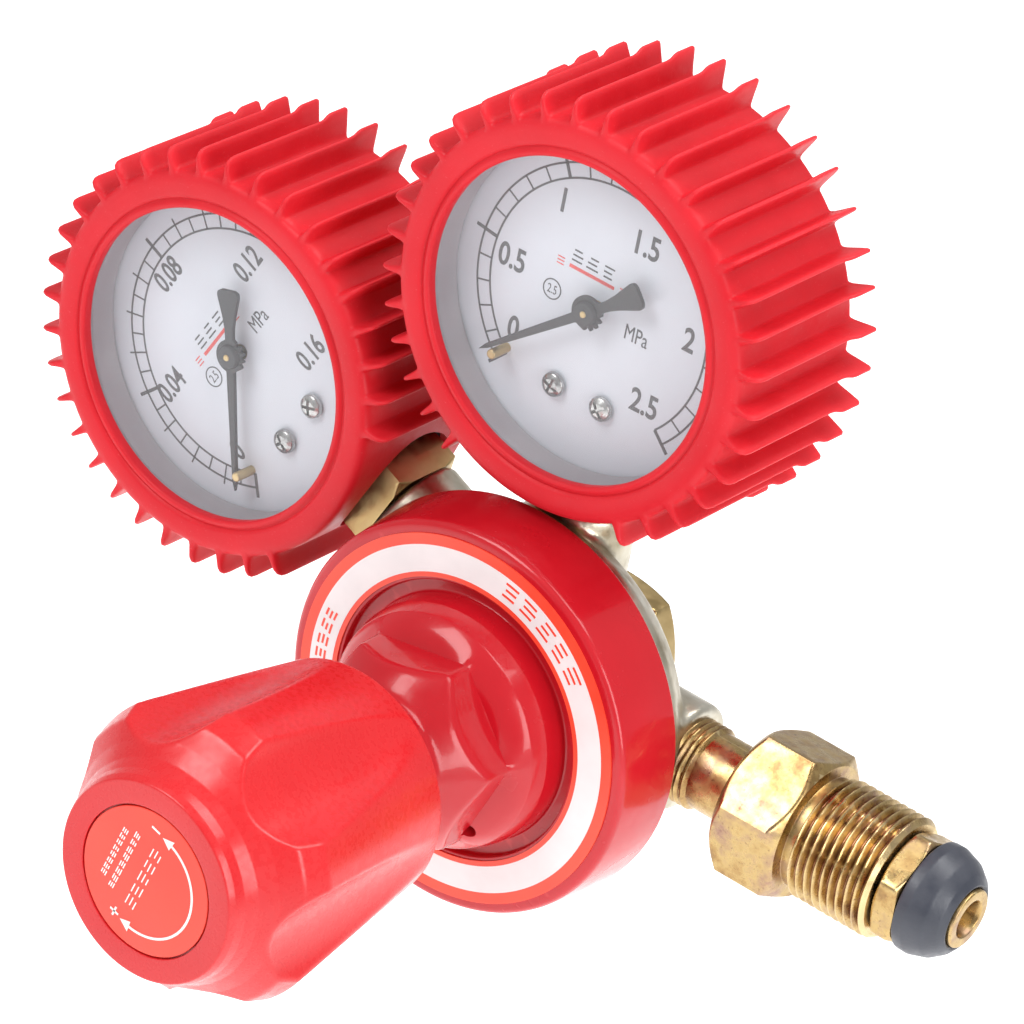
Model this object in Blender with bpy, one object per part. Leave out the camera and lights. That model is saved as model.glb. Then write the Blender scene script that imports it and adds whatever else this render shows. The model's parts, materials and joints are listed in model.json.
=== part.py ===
"""Single-stage gas pressure regulator with two boot-covered pressure gauges.

Everything is modelled in millimetres about the point where the adjusting-knob axis meets the
front face of the bonnet, then placed so that the world origin is the tip of the inlet nose.
World axes: +X out of the inlet, +Y from the knob towards the rear plug, +Z up.
"""
import math

import bmesh
import bpy
from mathutils import Matrix, Vector

MM = 0.001
GAP = 0.3                      # clearance kept between neighbouring pieces
WELD = 0.000005                # metres: corners closer than this after a cut are one corner

# ---- driving dimensions (mm) ---------------------------------------------------------------
INLET_Y = 24.5                 # inlet axis, behind the bonnet face
INLET_TIP_X = 89.0             # end of the inlet nose
PORT_Y = 27.0                  # plane of the gauge and outlet ports
HIGH_GAUGE = {"prefix": "inlet_gauge_", "angle": 91.0, "distance": 72.2}
LOW_GAUGE = {"prefix": "outlet_gauge_", "angle": 155.8, "distance": 75.4}
OUTLET_ANGLE = 225.0

BONNET_RADIUS = 35.6
BONNET_REAR = 14.2
SPRING_BORE = 10.6
NECK_RADIUS = 13.0
NECK_FRONT = -34.0
WRENCH_ACROSS_FLATS = 32.0
LABEL_OUTER = 32.45
LABEL_INNER = 24.9

SCREW_RADIUS = 5.0
KNOB_REAR = -29.5
KNOB_FRONT = -78.4
KNOB_FLUTES = 6
KNOB_RIDGE_ANGLE = 83.0
FLUTE_RADIUS = 14.5            # each flute is part of a cylinder beside the knob
FLUTE_AXIS = 35.2

TUBE_RADIUS = 6.95
NUT_ACROSS_FLATS = 24.6
NUT_FLAT_ANGLE = 47.0
NUT_THREAD_RADIUS = 11.0
NUT_THREAD_PITCH = 1.61
NOSE_ACROSS_FLATS = 18.0
NOSE_FLAT_ANGLE = 54.0

STEM_SQUARE = 15.5
STEM_SHOULDER = 37.4           # end of the wrench square, from the gauge axis
GAUGE_FRONT = -17.6            # boot lip, from the stem plane
GAUGE_REAR = 14.0
LIP_RADIUS = 27.65
BOOT_RADIUS = 34.2
FIN_RADIUS = 38.2
FIN_PITCH = 10.0
CASE_RADIUS = 31.4
CASE_INNER = 30.2
FIN_ROOT = 33.2
DIAL_FRONT = -8.6
DIAL_SCREW = (4.9, -16.3)
STOP_PIN_ANGLE = -137.0
POINTER_REST = 219.0           # degrees, counted from +X towards +Z in the dial's own frame
PINION_TEETH = 10
SECTOR_TEETH = 80
GEAR_MODULE = 0.25
SECTOR_PIVOT_Z = -(PINION_TEETH + SECTOR_TEETH) * GEAR_MODULE / 2.0
SECTOR_TAIL = 5.2
SECTOR_TAIL_ANGLE = 160.0
TUBE_BEND = 19.5
TUBE_ROOT_ANGLE = -66.0
TUBE_TIP_ANGLE = 230.0
LINK_PIN_RADIUS = 17.2
LINK_LENGTH = 7.196
LINK_ANGLE = 30.98

CASTING = ("nickel_plate", (0.72, 0.69, 0.60), 0.35, 0.9)
RED_ENAMEL = ("red_enamel", (0.55, 0.015, 0.025), 0.15, 0.0)
RED_KNOB = ("red_plastic", (0.80, 0.03, 0.03), 0.25, 0.0)
RED_RUBBER = ("red_rubber", (0.75, 0.02, 0.03), 0.45, 0.0)
BRASS = ("brass", (0.62, 0.42, 0.16), 0.30, 1.0)
STEEL = ("zinc_steel", (0.62, 0.62, 0.63), 0.30, 1.0)
SPRING_STEEL = ("spring_steel", (0.35, 0.35, 0.37), 0.35, 1.0)
BLACK_RUBBER = ("black_rubber", (0.05, 0.055, 0.07), 0.55, 0.0)
LABEL_ORANGE = ("label_orange", (0.90, 0.10, 0.04), 0.35, 0.0)
DIAL_WHITE = ("dial_white", (0.80, 0.83, 0.88), 0.40, 0.0)
POINTER_BLACK = ("pointer_black", (0.02, 0.02, 0.02), 0.45, 0.0)
CASE_STEEL = ("case_steel", (0.30, 0.30, 0.32), 0.40, 0.8)
CLEAR_LENS = ("clear_lens", (0.95, 0.97, 1.0), 0.05, 0.0)


# ---- helpers -------------------------------------------------------------------------------
def clear_scene():
    for item in list(bpy.data.objects):
        bpy.data.objects.remove(item, do_unlink=True)


def material(finish):
    name, colour, roughness, metallic = finish
    found = bpy.data.materials.get(name)
    if found:
        return found
    made = bpy.data.materials.new(name)
    made.use_nodes = True
    shader = made.node_tree.nodes["Principled BSDF"]
    shader.inputs["Base Color"].default_value = (*colour, 1.0)
    shader.inputs["Roughness"].default_value = roughness
    shader.inputs["Metallic"].default_value = metallic
    return made


def empty(name, place=(0, 0, 0), rotation=None, parent=None):
    """A frame that pieces are parented to; place is in mm."""
    made = bpy.data.objects.new(name, None)
    bpy.context.collection.objects.link(made)
    made.parent = parent
    turned = Matrix.Identity(4) if rotation is None else rotation.to_4x4()
    made.matrix_local = Matrix.Translation(Vector(place) * MM) @ turned
    return made


def finish_object(name, bm, finish, parent, smooth_angle=35.0):
    """Turn a bmesh in mm into a closed, outward-facing object in metres."""
    bmesh.ops.remove_doubles(bm, verts=bm.verts, dist=0.0005)
    bmesh.ops.scale(bm, vec=(MM, MM, MM), verts=bm.verts)
    bmesh.ops.recalc_face_normals(bm, faces=bm.faces)
    mesh = bpy.data.meshes.new(name)
    bm.to_mesh(mesh)
    bm.free()
    mesh.materials.append(material(finish))
    mesh.shade_smooth()
    mesh.set_sharp_from_angle(angle=math.radians(smooth_angle))
    made = bpy.data.objects.new(name, mesh)
    bpy.context.collection.objects.link(made)
    made.parent = parent
    return made


def spun_bmesh(profile, steps, phase=0.5):
    """Closed (radius, y) profile turned about the local Y axis; phase is in steps."""
    bm = bmesh.new()
    rings = []
    for radius, height in profile:
        if radius <= 0.0:
            rings.append([bm.verts.new((0.0, height, 0.0))])
            continue
        ring = []
        for i in range(steps):
            turn = 2.0 * math.pi * (i + phase) / steps
            ring.append(bm.verts.new((radius * math.cos(turn), height, radius * math.sin(turn))))
        rings.append(ring)
    for first, second in zip(rings, rings[1:] + rings[:1]):
        if len(first) == 1 and len(second) == 1:
            continue
        for i in range(steps):
            j = (i + 1) % steps
            if len(first) == 1:
                bm.faces.new((first[0], second[j], second[i]))
            elif len(second) == 1:
                bm.faces.new((first[i], first[j], second[0]))
            else:
                bm.faces.new((first[i], first[j], second[j], second[i]))
    return bm


def lathe(name, profile, finish, parent, steps=32, phase=0.5):
    return finish_object(name, spun_bmesh(profile, steps, phase), finish, parent)


def tube_profile(inner, outer, start, end, chamfer=0.0):
    """Profile of a plain ring or tube between two heights on the axis."""
    if chamfer <= 0.0:
        return [(inner, start), (outer, start), (outer, end), (inner, end)]
    return [(inner, start), (outer - chamfer, start), (outer, start + chamfer),
            (outer, end - chamfer), (outer - chamfer, end), (inner, end)]


def prism_bmesh(outline, start, end):
    """Outline of (x, z) points extruded along Y from start to end."""
    bm = bmesh.new()
    face = bm.faces.new([bm.verts.new((x, start, z)) for x, z in outline])
    grown = bmesh.ops.extrude_face_region(bm, geom=[face])
    moved = [v for v in grown["geom"] if isinstance(v, bmesh.types.BMVert)]
    bmesh.ops.translate(bm, vec=(0, end - start, 0), verts=moved)
    return bm


def prism(name, outline, start, end, finish, parent):
    return finish_object(name, prism_bmesh(outline, start, end), finish, parent, 30.0)


def polygon(sides, across_flats, flat_angle=0.0):
    """Regular polygon with one flat facing flat_angle degrees."""
    corner = across_flats / 2.0 / math.cos(math.pi / sides)
    turn = math.radians(flat_angle) + math.pi / sides
    return [(corner * math.cos(turn + 2.0 * math.pi * i / sides),
             corner * math.sin(turn + 2.0 * math.pi * i / sides)) for i in range(sides)]


def cutter(name, bm, parent):
    made = finish_object(name, bm, CASTING, parent)
    made.hide_render = True
    made.display_type = "WIRE"
    return made


def round_cutter(name, radius, start, end, parent, steps=20):
    profile = [(0, start), (radius, start), (radius, end), (0, end)]
    return cutter(name, spun_bmesh(profile, steps), parent)


def boolean(target, other, operation="DIFFERENCE"):
    made = target.modifiers.new(operation.lower() + "_" + other.name, "BOOLEAN")
    made.object = other
    made.operation = operation
    made.solver = "EXACT"
    weld = target.modifiers.new("weld_" + other.name, "WELD")
    weld.merge_threshold = WELD
    other.hide_render = True
    other.display_type = "WIRE"


def facing(angle):
    """Rotation that turns local +Y to the direction at angle in the XZ plane."""
    direction = Vector((math.cos(math.radians(angle)), 0.0, math.sin(math.radians(angle))))
    return Vector((0.0, 1.0, 0.0)).rotation_difference(direction).to_matrix()


def helix_spring(name, mean_radius, wire, start, end, turns, finish, parent, per_turn=14, sides=6):
    """Open coil along local Y with flat filled ends."""
    bm = bmesh.new()
    rings = []
    total = int(turns * per_turn)
    rise = end - start - 2.0 * wire
    for i in range(total + 1):
        turn = 2.0 * math.pi * i / per_turn
        along = Vector((math.cos(turn), 0.0, math.sin(turn)))
        height = start + wire + rise * i / total
        ring = []
        for j in range(sides):
            roll = 2.0 * math.pi * j / sides
            point = along * (mean_radius + wire * math.cos(roll))
            ring.append(bm.verts.new((point.x, height + wire * math.sin(roll), point.z)))
        rings.append(ring)
    for first, second in zip(rings, rings[1:]):
        for j in range(sides):
            bm.faces.new((first[j], first[(j + 1) % sides], second[(j + 1) % sides], second[j]))
    bm.faces.new(rings[0])
    bm.faces.new(list(reversed(rings[-1])))
    return finish_object(name, bm, finish, parent, 60.0)


# ---- body and its ports --------------------------------------------------------------------
def ribbed_thread(radius, start, end, pitch, depth):
    """(radius, y) points of a row of thread crests, from start to end."""
    points = []
    count = int((end - start) / pitch)
    for i in range(count):
        base = start + i * pitch
        points += [(radius - depth, base), (radius, base + 0.5 * pitch)]
    return points


BODY_FRONT = 7.4
CHAMBER_FLOOR = 17.0
VALVE_BORE = 8.0
BODY_BACK = 43.0


def port_boss(body, frame, reach, outer, socket, socket_depth, name, start=8.0):
    """A cast arm for one port with its threaded socket; reach is measured from the knob axis."""
    arm = finish_object(name + "_arm", spun_bmesh([
        (0, start), (outer, start), (outer, reach - 1.2), (outer - 1.2, reach), (0, reach)],
        20), CASTING, frame)
    boolean(body, arm, "UNION")
    hole = round_cutter(name + "_socket", socket, reach - socket_depth, reach + 2, frame)
    return hole


def make_body(root, inlet_frame, high_port, low_port, outlet_port):
    flange = 31.2
    body = lathe("regulator_body", [
        (0, BODY_FRONT), (flange, BODY_FRONT), (flange, 14.8), (33.4, 14.8), (33.6, 16.4),
        (32.6, 19.9), (29.0, 24.4), (20.5, 28.0), (13.2, 30.6), (12.5, 33.0),
        (12.5, BODY_BACK), (0, BODY_BACK)],
        CASTING, root, 32)
    holes = [
        port_boss(body, inlet_frame, 32.0, 9.7, TUBE_RADIUS + GAP, 10.0, "inlet"),
        port_boss(body, high_port, HIGH_GAUGE["distance"] - STEM_SHOULDER - GAP, 9.3, 6.8, 12.0,
                  "high"),
        port_boss(body, low_port, LOW_GAUGE["distance"] - STEM_SHOULDER - GAP, 9.3, 6.8, 12.0,
                  "low"),
        port_boss(body, outlet_port, 34.0, 9.3, 6.3, 11.0, "outlet")]
    chamber = cutter("low_chamber", spun_bmesh([
        (0, 5.0), (22.0, 5.0), (22.0, CHAMBER_FLOOR - 4), (18.0, CHAMBER_FLOOR),
        (0, CHAMBER_FLOOR)], 24), root)
    high = round_cutter("valve_bore", VALVE_BORE, 21.0, BODY_BACK + 2, root)
    nozzle = round_cutter("nozzle_bore", 4.3, 15.0, 23.0, root)
    holes += [chamber, high, nozzle,
              round_cutter("inlet_way", 3.0, 4.0, 24.0, inlet_frame, 12),
              round_cutter("high_way", 2.0, 4.0, 30.0, high_port, 12),
              round_cutter("low_way", 2.0, 16.0, 34.0, low_port, 12),
              round_cutter("outlet_way", 3.0, 16.0, 26.0, outlet_port, 12)]
    for port, angle in (("low", LOW_GAUGE["angle"]), ("outlet", OUTLET_ANGLE)):
        turn = math.radians(angle)
        spot = empty(port + "_riser_frame", (17.5 * math.cos(turn), 0, 17.5 * math.sin(turn)),
                     None, root)
        holes.append(round_cutter(port + "_riser", 1.9, 12.0, PORT_Y, spot, 12))
    for hole in holes:
        boolean(body, hole)
    return body


# ---- bonnet, diaphragm and adjusting gear --------------------------------------------------
def make_bonnet(root):
    bonnet = lathe("bonnet", [
        (SCREW_RADIUS + GAP, NECK_FRONT), (NECK_RADIUS - 1, NECK_FRONT),
        (NECK_RADIUS, NECK_FRONT + 1), (NECK_RADIUS, -21.0), (14.4, -17.4),
        (18.6, -13.6), (18.9, -9.0), (20.8, -5.2), (21.8, 2.0),
        (24.3, 2.0), (24.3, 0.6), (33.9, 0.6), (35.0, 1.7),
        (BONNET_RADIUS, BONNET_REAR), (31.7, BONNET_REAR), (31.7, 4.4), (20.0, 4.4),
        (20.0, 1.0), (14.0, -6.0),
        (SPRING_BORE, -9.0), (SPRING_BORE, -28.0), (SCREW_RADIUS + GAP, -28.0)],
        RED_ENAMEL, root, 36)
    flats = cutter("bonnet_flats", prism_bmesh(
        polygon(6, WRENCH_ACROSS_FLATS, 40.0), NECK_FRONT - 5, -9.0), root)
    blank = cutter("bonnet_blank", spun_bmesh([
        (0, NECK_FRONT - 4), (26, NECK_FRONT - 4), (26, -9.0), (0, -9.0)], 12), root)
    boolean(blank, flats)
    boolean(bonnet, blank)
    vent_frame = empty("vent_frame", (8.0, -4.0, -14.0), Matrix.Rotation(
        math.radians(-60.0), 3, "Z"), root)
    vent = round_cutter("vent_hole", 1.1, -12.0, 12.0, vent_frame, 12)
    boolean(bonnet, vent)
    return bonnet


def make_diaphragm_group(root, valve):
    lathe("bonnet_label", tube_profile(LABEL_INNER, LABEL_OUTER, 0.0, 0.3), LABEL_ORANGE,
          root, 36)
    lathe("slip_ring", tube_profile(24.0, 30.6, 4.7, 5.6), STEEL, root,
          32)
    lathe("diaphragm", [(0, 5.9), (30.6, 5.9), (30.6, 7.1), (0, 7.1)], BLACK_RUBBER, root, 32)
    lathe("diaphragm_plate", [
        (0, 1.2), (5.6, 1.2), (6.4, 2.0), (6.4, 3.2), (13.0, 3.2), (13.0, 4.8), (12.6, 5.5),
        (0, 5.5)], STEEL, valve, 24)
    lathe("valve_pusher", [
        (0, 7.5), (11.0, 7.5), (11.0, 8.4), (3.0, 8.9), (1.5, 9.6), (1.5, 11.4), (0, 11.4)],
        BRASS, valve, 20)


def make_adjuster(root, carriage, knob_frame):
    helix_spring("range_spring", 8.1, 1.25, -19.4, 2.8, 5, SPRING_STEEL, root, 11, 5)
    lathe("spring_seat", [
        (0, -20.9), (2.0, -21.6), (9.8, -21.6), (9.8, -19.8), (6.2, -19.6), (5.6, -17.6),
        (0, -17.6)], STEEL, carriage, 24)
    start, end = -64.0, -23.4
    lathe("adjusting_screw", [
        (0, start), (4.3, start), (SCREW_RADIUS, start + 0.7), (SCREW_RADIUS, end - 1.8),
        (3.2, end), (1.4, -22.2), (0, -22.2)], STEEL, knob_frame, 20)
    make_knob(knob_frame)
    lathe("knob_label", [(0, -78.2), (12.6, -78.2), (12.6, -77.7), (0, -77.7)], LABEL_ORANGE,
          knob_frame, 32)
    nut = prism("knob_nut", polygon(6, 16.0, 30.0), -62.5, -58.4, STEEL, knob_frame)
    boolean(nut, round_cutter("knob_nut_bore", SCREW_RADIUS + 0.25, -65, -56, knob_frame))


def knob_radius(y):
    """Outer radius of the knob's turned blank at y: long cone, rounded lobes, concave front."""
    cone = 20.6 + (KNOB_REAR - y) * 0.138
    lobe_start, lobe_end, face = -64.5, -70.5, KNOB_FRONT
    if y >= lobe_start:
        return cone
    if y >= lobe_end:
        t = (lobe_start - y) / (lobe_start - lobe_end)
        return 25.4 - 2.7 * t * t
    t = (lobe_end - y) / (lobe_end - face)
    return 22.7 - 5.7 * math.sin(t * math.pi / 2.0) ** 0.9


def make_knob(parent):
    heights = [KNOB_REAR, -64.5, -67.0, -69.0, -70.5, -72.5, -75.0, KNOB_FRONT]
    blank = [(knob_radius(y), y) for y in heights]
    blank[0] = (20.1, KNOB_REAR)
    blank.insert(1, (20.65, KNOB_REAR - 0.7))
    profile = [(18.0, KNOB_REAR)] + blank + [
        (12.9, KNOB_FRONT), (12.9, -77.4), (9.6, -77.4), (9.6, -58.0), (SCREW_RADIUS + 0.25, -58.0),
        (SCREW_RADIUS + 0.25, -45.0), (16.0, -45.0), (17.6, -38.0)]
    knob = lathe("knob", list(reversed(profile)), RED_KNOB, parent, 36)
    for i in range(KNOB_FLUTES):
        angle = math.radians(KNOB_RIDGE_ANGLE + (i + 0.5) * 360.0 / KNOB_FLUTES)
        spot = empty("flute_frame_%d" % i, (FLUTE_AXIS * math.cos(angle), -50.0,
                                             FLUTE_AXIS * math.sin(angle)), None, parent)
        flute = round_cutter("flute_%d" % i, FLUTE_RADIUS, -40.0, 40.0, spot, 28)
        boolean(knob, flute)
    return knob


# ---- valve ---------------------------------------------------------------------------------
def make_valve(root, valve):
    lathe("valve_nozzle", [
        (1.7, 14.6), (6.0, 14.6), (6.0, 16.7), (4.0, 16.7), (4.0, 21.2),
        (2.9, 21.6), (1.7, 21.6)], BRASS, root, 16)
    lathe("valve_seat_disc", tube_profile(1.2, 3.8, 21.9, 23.2), BLACK_RUBBER, valve, 16)
    lathe("valve_poppet", [
        (0, 11.7), (0.9, 11.7), (0.9, 23.5), (4.8, 23.5), (5.2, 24.0), (5.2, 29.4), (4.8, 29.8),
        (2.2, 29.8), (2.2, 38.4), (0, 38.4)], BRASS, valve, 14)
    helix_spring("valve_spring", 3.6, 0.4, 30.1, 36.7, 4, SPRING_STEEL, root, 9, 4)
    plug = lathe("rear_plug", [
        (0, 41.0), (2.5, 41.0), (2.5, 37.0), (7.0, 37.0), (7.6, 37.6), (7.6, 44.4), (12.6, 44.4),
        (12.6, 48.6), (11.2, 50.0), (0, 50.0)], BRASS, root, 18)
    hexagon = cutter("rear_plug_hexagon", prism_bmesh(polygon(6, 19.0, 20.0), 36, 51), root)
    boolean(plug, hexagon, "INTERSECT")
    lathe("rear_plug_gasket", tube_profile(8.0, 11.0, BODY_BACK + GAP, 44.1), BLACK_RUBBER, root,
          24)


# ---- inlet ---------------------------------------------------------------------------------
def make_inlet(inlet, nut_frame):
    start, end = 22.6, 75.5
    lathe("inlet_nipple", [
        (4.7, start), (TUBE_RADIUS - 0.6, start), (TUBE_RADIUS, start + 0.6), (TUBE_RADIUS, end),
        (4.9, end), (4.9, 64.5), (3.2, 64.5), (3.2, 34.2), (4.7, 34.2)], BRASS, inlet, 20)
    lathe("inlet_filter", [(0, 23.4), (4.4, 23.4), (4.4, 33.8), (3.6, 33.8), (1.6, 25.0),
                           (0, 25.0)], ("sintered_bronze", (0.42, 0.26, 0.12), 0.7, 0.9),
          inlet, 20)
    nut = lathe("union_nut", [
        (TUBE_RADIUS + GAP, 45.0), (11.6, 45.0), (14.3, 47.4), (14.3, 55.6), (11.6, 58.0),
        (10.0, 58.2)]
        + ribbed_thread(NUT_THREAD_RADIUS, 59.8, 74.6, NUT_THREAD_PITCH, 0.95)
        + [(10.1, 74.8), (9.4, 75.4), (TUBE_RADIUS + GAP, 75.4)], BRASS, nut_frame, 20)
    hexagon = cutter("union_nut_hexagon", prism_bmesh(
        polygon(6, NUT_ACROSS_FLATS, NUT_FLAT_ANGLE), 44, 77), nut_frame)
    boolean(nut, hexagon, "INTERSECT")
    nose = lathe("nose_piece", [
        (3.1, 65.0), (4.5, 65.0), (4.5, 75.8), (9.2, 75.8), (10.4, 76.6), (10.4, 79.2),
        (9.6, 80.0), (5.3, 80.0), (5.3, INLET_TIP_X), (3.1, INLET_TIP_X)], BRASS, inlet, 20)
    nose_hexagon = cutter("nose_hexagon", prism_bmesh(
        polygon(6, NOSE_ACROSS_FLATS, NOSE_FLAT_ANGLE), 64, 91), inlet)
    boolean(nose, nose_hexagon, "INTERSECT")
    lathe("nose_seal", [
        (5.6, 80.3), (9.8, 80.3), (9.8, 82.0), (9.0, 84.9), (7.4, 87.3),
        (5.6, 88.5)], BLACK_RUBBER, inlet, 20)


# ---- outlet --------------------------------------------------------------------------------
def make_outlet(outlet, nut_frame):
    nipple = lathe("outlet_nipple", [
        (2.6, 23.4), (5.6, 23.4), (6.0, 23.8), (6.0, 34.3), (9.8, 34.3), (9.8, 40.0),
        (8.0, 40.2), (8.0, 49.6), (7.2, 50.4), (2.6, 50.4)], BRASS, outlet, 20)
    hexagon = cutter("outlet_hexagon", prism_bmesh(polygon(6, 17.0, 0.0), 23, 51), outlet)
    boolean(nipple, hexagon, "INTERSECT")
    nut = lathe("outlet_nut", [
        (8.35, 43.0), (10.4, 43.0), (12.2, 44.2), (12.2, 57.0), (10.8, 58.4), (5.6, 58.4),
        (5.6, 54.2), (8.35, 54.2)], BRASS, nut_frame, 20)
    nut_hexagon = cutter("outlet_nut_hexagon", prism_bmesh(polygon(6, 21.0, 0.0), 42, 60),
                         nut_frame)
    boolean(nut, nut_hexagon, "INTERSECT")
    barbs = []
    for i in range(4):
        base = 62.0 + 4.3 * i
        barbs += [(5.0, base), (4.2, base + 3.8)]
    lathe("hose_barb", [(2.5, 50.8), (6.6, 50.8), (7.8, 51.6), (7.8, 53.9), (5.2, 53.9),
                        (5.2, 60.0), (4.3, 61.0)] + barbs
          + [(3.6, 80.0), (2.5, 80.0)], BRASS, outlet, 16)


# ---- gauges --------------------------------------------------------------------------------
def fin_bmesh(angle):
    """One tapered rubber fin, standing on the boot at angle degrees."""
    outline = [
        (FIN_ROOT, GAUGE_FRONT + 1.2), (BOOT_RADIUS + 2.6, GAUGE_FRONT + 0.4),
        (FIN_RADIUS, GAUGE_FRONT + 2.2), (FIN_RADIUS, 8.8), (FIN_RADIUS + 0.9, 10.4),
        (FIN_RADIUS + 0.9, GAUGE_REAR + 0.8), (FIN_ROOT, GAUGE_REAR - 0.6)]
    bm = bmesh.new()
    sides = []
    for sign in (-1, 1):
        side = []
        for radius, y in outline:
            half = 0.95 - 0.45 * (radius - FIN_ROOT) / (FIN_RADIUS - FIN_ROOT)
            side.append(bm.verts.new((radius, y, sign * half)))
        sides.append(side)
    bm.faces.new(sides[0])
    bm.faces.new(list(reversed(sides[1])))
    for i in range(len(outline)):
        j = (i + 1) % len(outline)
        bm.faces.new((sides[0][j], sides[0][i], sides[1][i], sides[1][j]))
    bmesh.ops.rotate(bm, cent=(0, 0, 0), verts=bm.verts,
                     matrix=Matrix.Rotation(-math.radians(angle), 3, "Y"))
    return bm


def join_into(target, bm):
    """Add one bmesh's faces to another."""
    piece = bpy.data.meshes.new("piece")
    bm.to_mesh(piece)
    bm.free()
    target.from_mesh(piece)
    bpy.data.meshes.remove(piece)


def make_boot(prefix, frame):
    """Rubber boot: a wall round the case, a lip over the bezel and a comb of fins."""
    boot = lathe(prefix + "boot", [
        (LIP_RADIUS, GAUGE_FRONT), (33.3, GAUGE_FRONT), (BOOT_RADIUS, GAUGE_FRONT + 0.9),
        (BOOT_RADIUS, GAUGE_REAR), (29.5, GAUGE_REAR), (29.5, GAUGE_REAR - 1.4),
        (CASE_RADIUS + 0.5, GAUGE_REAR - 1.4), (CASE_RADIUS + 0.5, GAUGE_FRONT + 2.1),
        (LIP_RADIUS, GAUGE_FRONT + 2.1)], RED_RUBBER, frame, 36, phase=0.0)
    fins = bmesh.new()
    for i in range(int(360 / FIN_PITCH)):
        from_stem = i * FIN_PITCH
        if min(from_stem, 360.0 - from_stem) > 2.5 * FIN_PITCH:
            join_into(fins, fin_bmesh(from_stem - 90.0))
    boolean(boot, cutter(prefix + "fins", fins, frame), "UNION")
    down = empty(prefix + "boot_hole_frame", (0, 0, 0), facing(-90.0), frame)
    boolean(boot, round_cutter(prefix + "boot_hole", 11.8, 26.0, 45.0, down, 24))


def make_case(prefix, frame):
    """Pressed steel can, bezel ring and flat window."""
    case = lathe(prefix + "case", [
        (CASE_INNER, -13.4), (CASE_RADIUS, -13.4), (CASE_RADIUS, 11.4), (CASE_RADIUS - 0.8, 12.2),
        (0, 12.2), (0, 11.2), (CASE_INNER, 11.2)], CASE_STEEL, frame, 28)
    side = STEM_SQUARE / 2.0 + GAP
    boolean(case, cutter(prefix + "case_slot", prism_bmesh([
        (-side, -20), (side, -20), (side, -36), (-side, -36)], -side, side), frame))
    lathe(prefix + "bezel_ring", [
        (28.4, -15.2), (CASE_RADIUS, -15.2), (CASE_RADIUS, -13.7), (29.9, -13.7),
        (29.9, -9.0), (28.4, -9.0)], CASE_STEEL, frame, 28)
    lathe(prefix + "lens", [(0, -14.9), (28.1, -14.9), (28.1, -13.6), (0, -13.6)],
          CLEAR_LENS, frame, 28)


def make_dial(prefix, frame):
    """Dial plate with its two fixing screws and the stop pin."""
    back = DIAL_FRONT + 0.55
    dial = lathe(prefix + "dial", [
        (1.4, DIAL_FRONT), (29.6, DIAL_FRONT), (29.6, back), (1.4, back)], DIAL_WHITE, frame, 28)
    for i, x in enumerate((-DIAL_SCREW[0], DIAL_SCREW[0])):
        spot = empty("%sscrew_frame_%d" % (prefix, i), (x, 0, DIAL_SCREW[1]), None, frame)
        boolean(dial, round_cutter("%sscrew_way_%d" % (prefix, i), 1.3, DIAL_FRONT - 2,
                                   DIAL_FRONT + 3, spot, 10))
        make_dial_screw("%sdial_screw_%s" % (prefix, "ab"[i]), spot)
    angle = math.radians(STOP_PIN_ANGLE)
    pin = empty(prefix + "stop_pin_frame", (21.3 * math.cos(angle), 0, 21.3 * math.sin(angle)),
                None, frame)
    boolean(dial, round_cutter(prefix + "stop_pin_way", 0.9, DIAL_FRONT - 2, DIAL_FRONT + 3,
                               pin, 10))
    lathe(prefix + "stop_pin", [(0, -13.1), (0.6, -12.9), (0.6, back - 0.1), (0, back - 0.1)],
          BRASS, pin, 10)


def make_dial_screw(name, spot):
    """Pan head above the dial with a cross recess; the shank reaches into the stem block."""
    head = DIAL_FRONT - GAP
    screw = lathe(name, [
        (0, head - 1.3), (1.2, head - 1.2), (2.0, head - 0.7), (2.3, head), (1.0, head),
        (1.0, -6.0), (0, -6.0)], STEEL, spot, 12)
    cross = [(-1.2, -0.22), (-0.22, -0.22), (-0.22, -1.2), (0.22, -1.2), (0.22, -0.22),
             (1.2, -0.22), (1.2, 0.22), (0.22, 0.22), (0.22, 1.2), (-0.22, 1.2), (-0.22, 0.22),
             (-1.2, 0.22)]
    bar = prism_bmesh(cross, head - 2.0, head - 0.7)
    bmesh.ops.rotate(bar, cent=(0, 0, 0), verts=bar.verts, matrix=Matrix.Rotation(0.4, 3, "Y"))
    boolean(screw, cutter(name + "_cross", bar, spot))


def arc_points(radius, angles):
    return [(radius * math.cos(math.radians(a)), radius * math.sin(math.radians(a)))
            for a in angles]


def make_pointer(prefix, spin):
    """Needle, hub and counterweight as one blade; local +Z points along the needle."""
    hub = 2.9
    front = DIAL_FRONT - 3.2
    back = DIAL_FRONT - 2.2
    tail = [(-0.8, -6.2), (-2.0, -9.0), (-2.0, -10.8), (-1.2, -11.8), (1.2, -11.8),
            (2.0, -10.8), (2.0, -9.0), (0.8, -6.2)]
    outline = ([(-0.3, 24.4), (-1.0, 2.7)] + arc_points(hub, (150, 200, 250)) + tail
               + arc_points(hub, (-70, -20, 30)) + [(1.0, 2.7), (0.3, 24.4)])
    pointer = prism(prefix + "pointer", outline, front, back, POINTER_BLACK, spin)
    boss = cutter(prefix + "pointer_boss", spun_bmesh([
        (0, front - 0.8), (2.0, front - 0.8), (2.6, front - 0.4), (2.6, front + 0.4),
        (1.5, front + 0.5), (1.5, back + 0.7), (0, back + 0.7)], 16), spin)
    boolean(pointer, boss, "UNION")
    boolean(pointer, round_cutter(prefix + "pointer_bore", 0.75, back - 0.6, back + 3, spin, 10))


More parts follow.
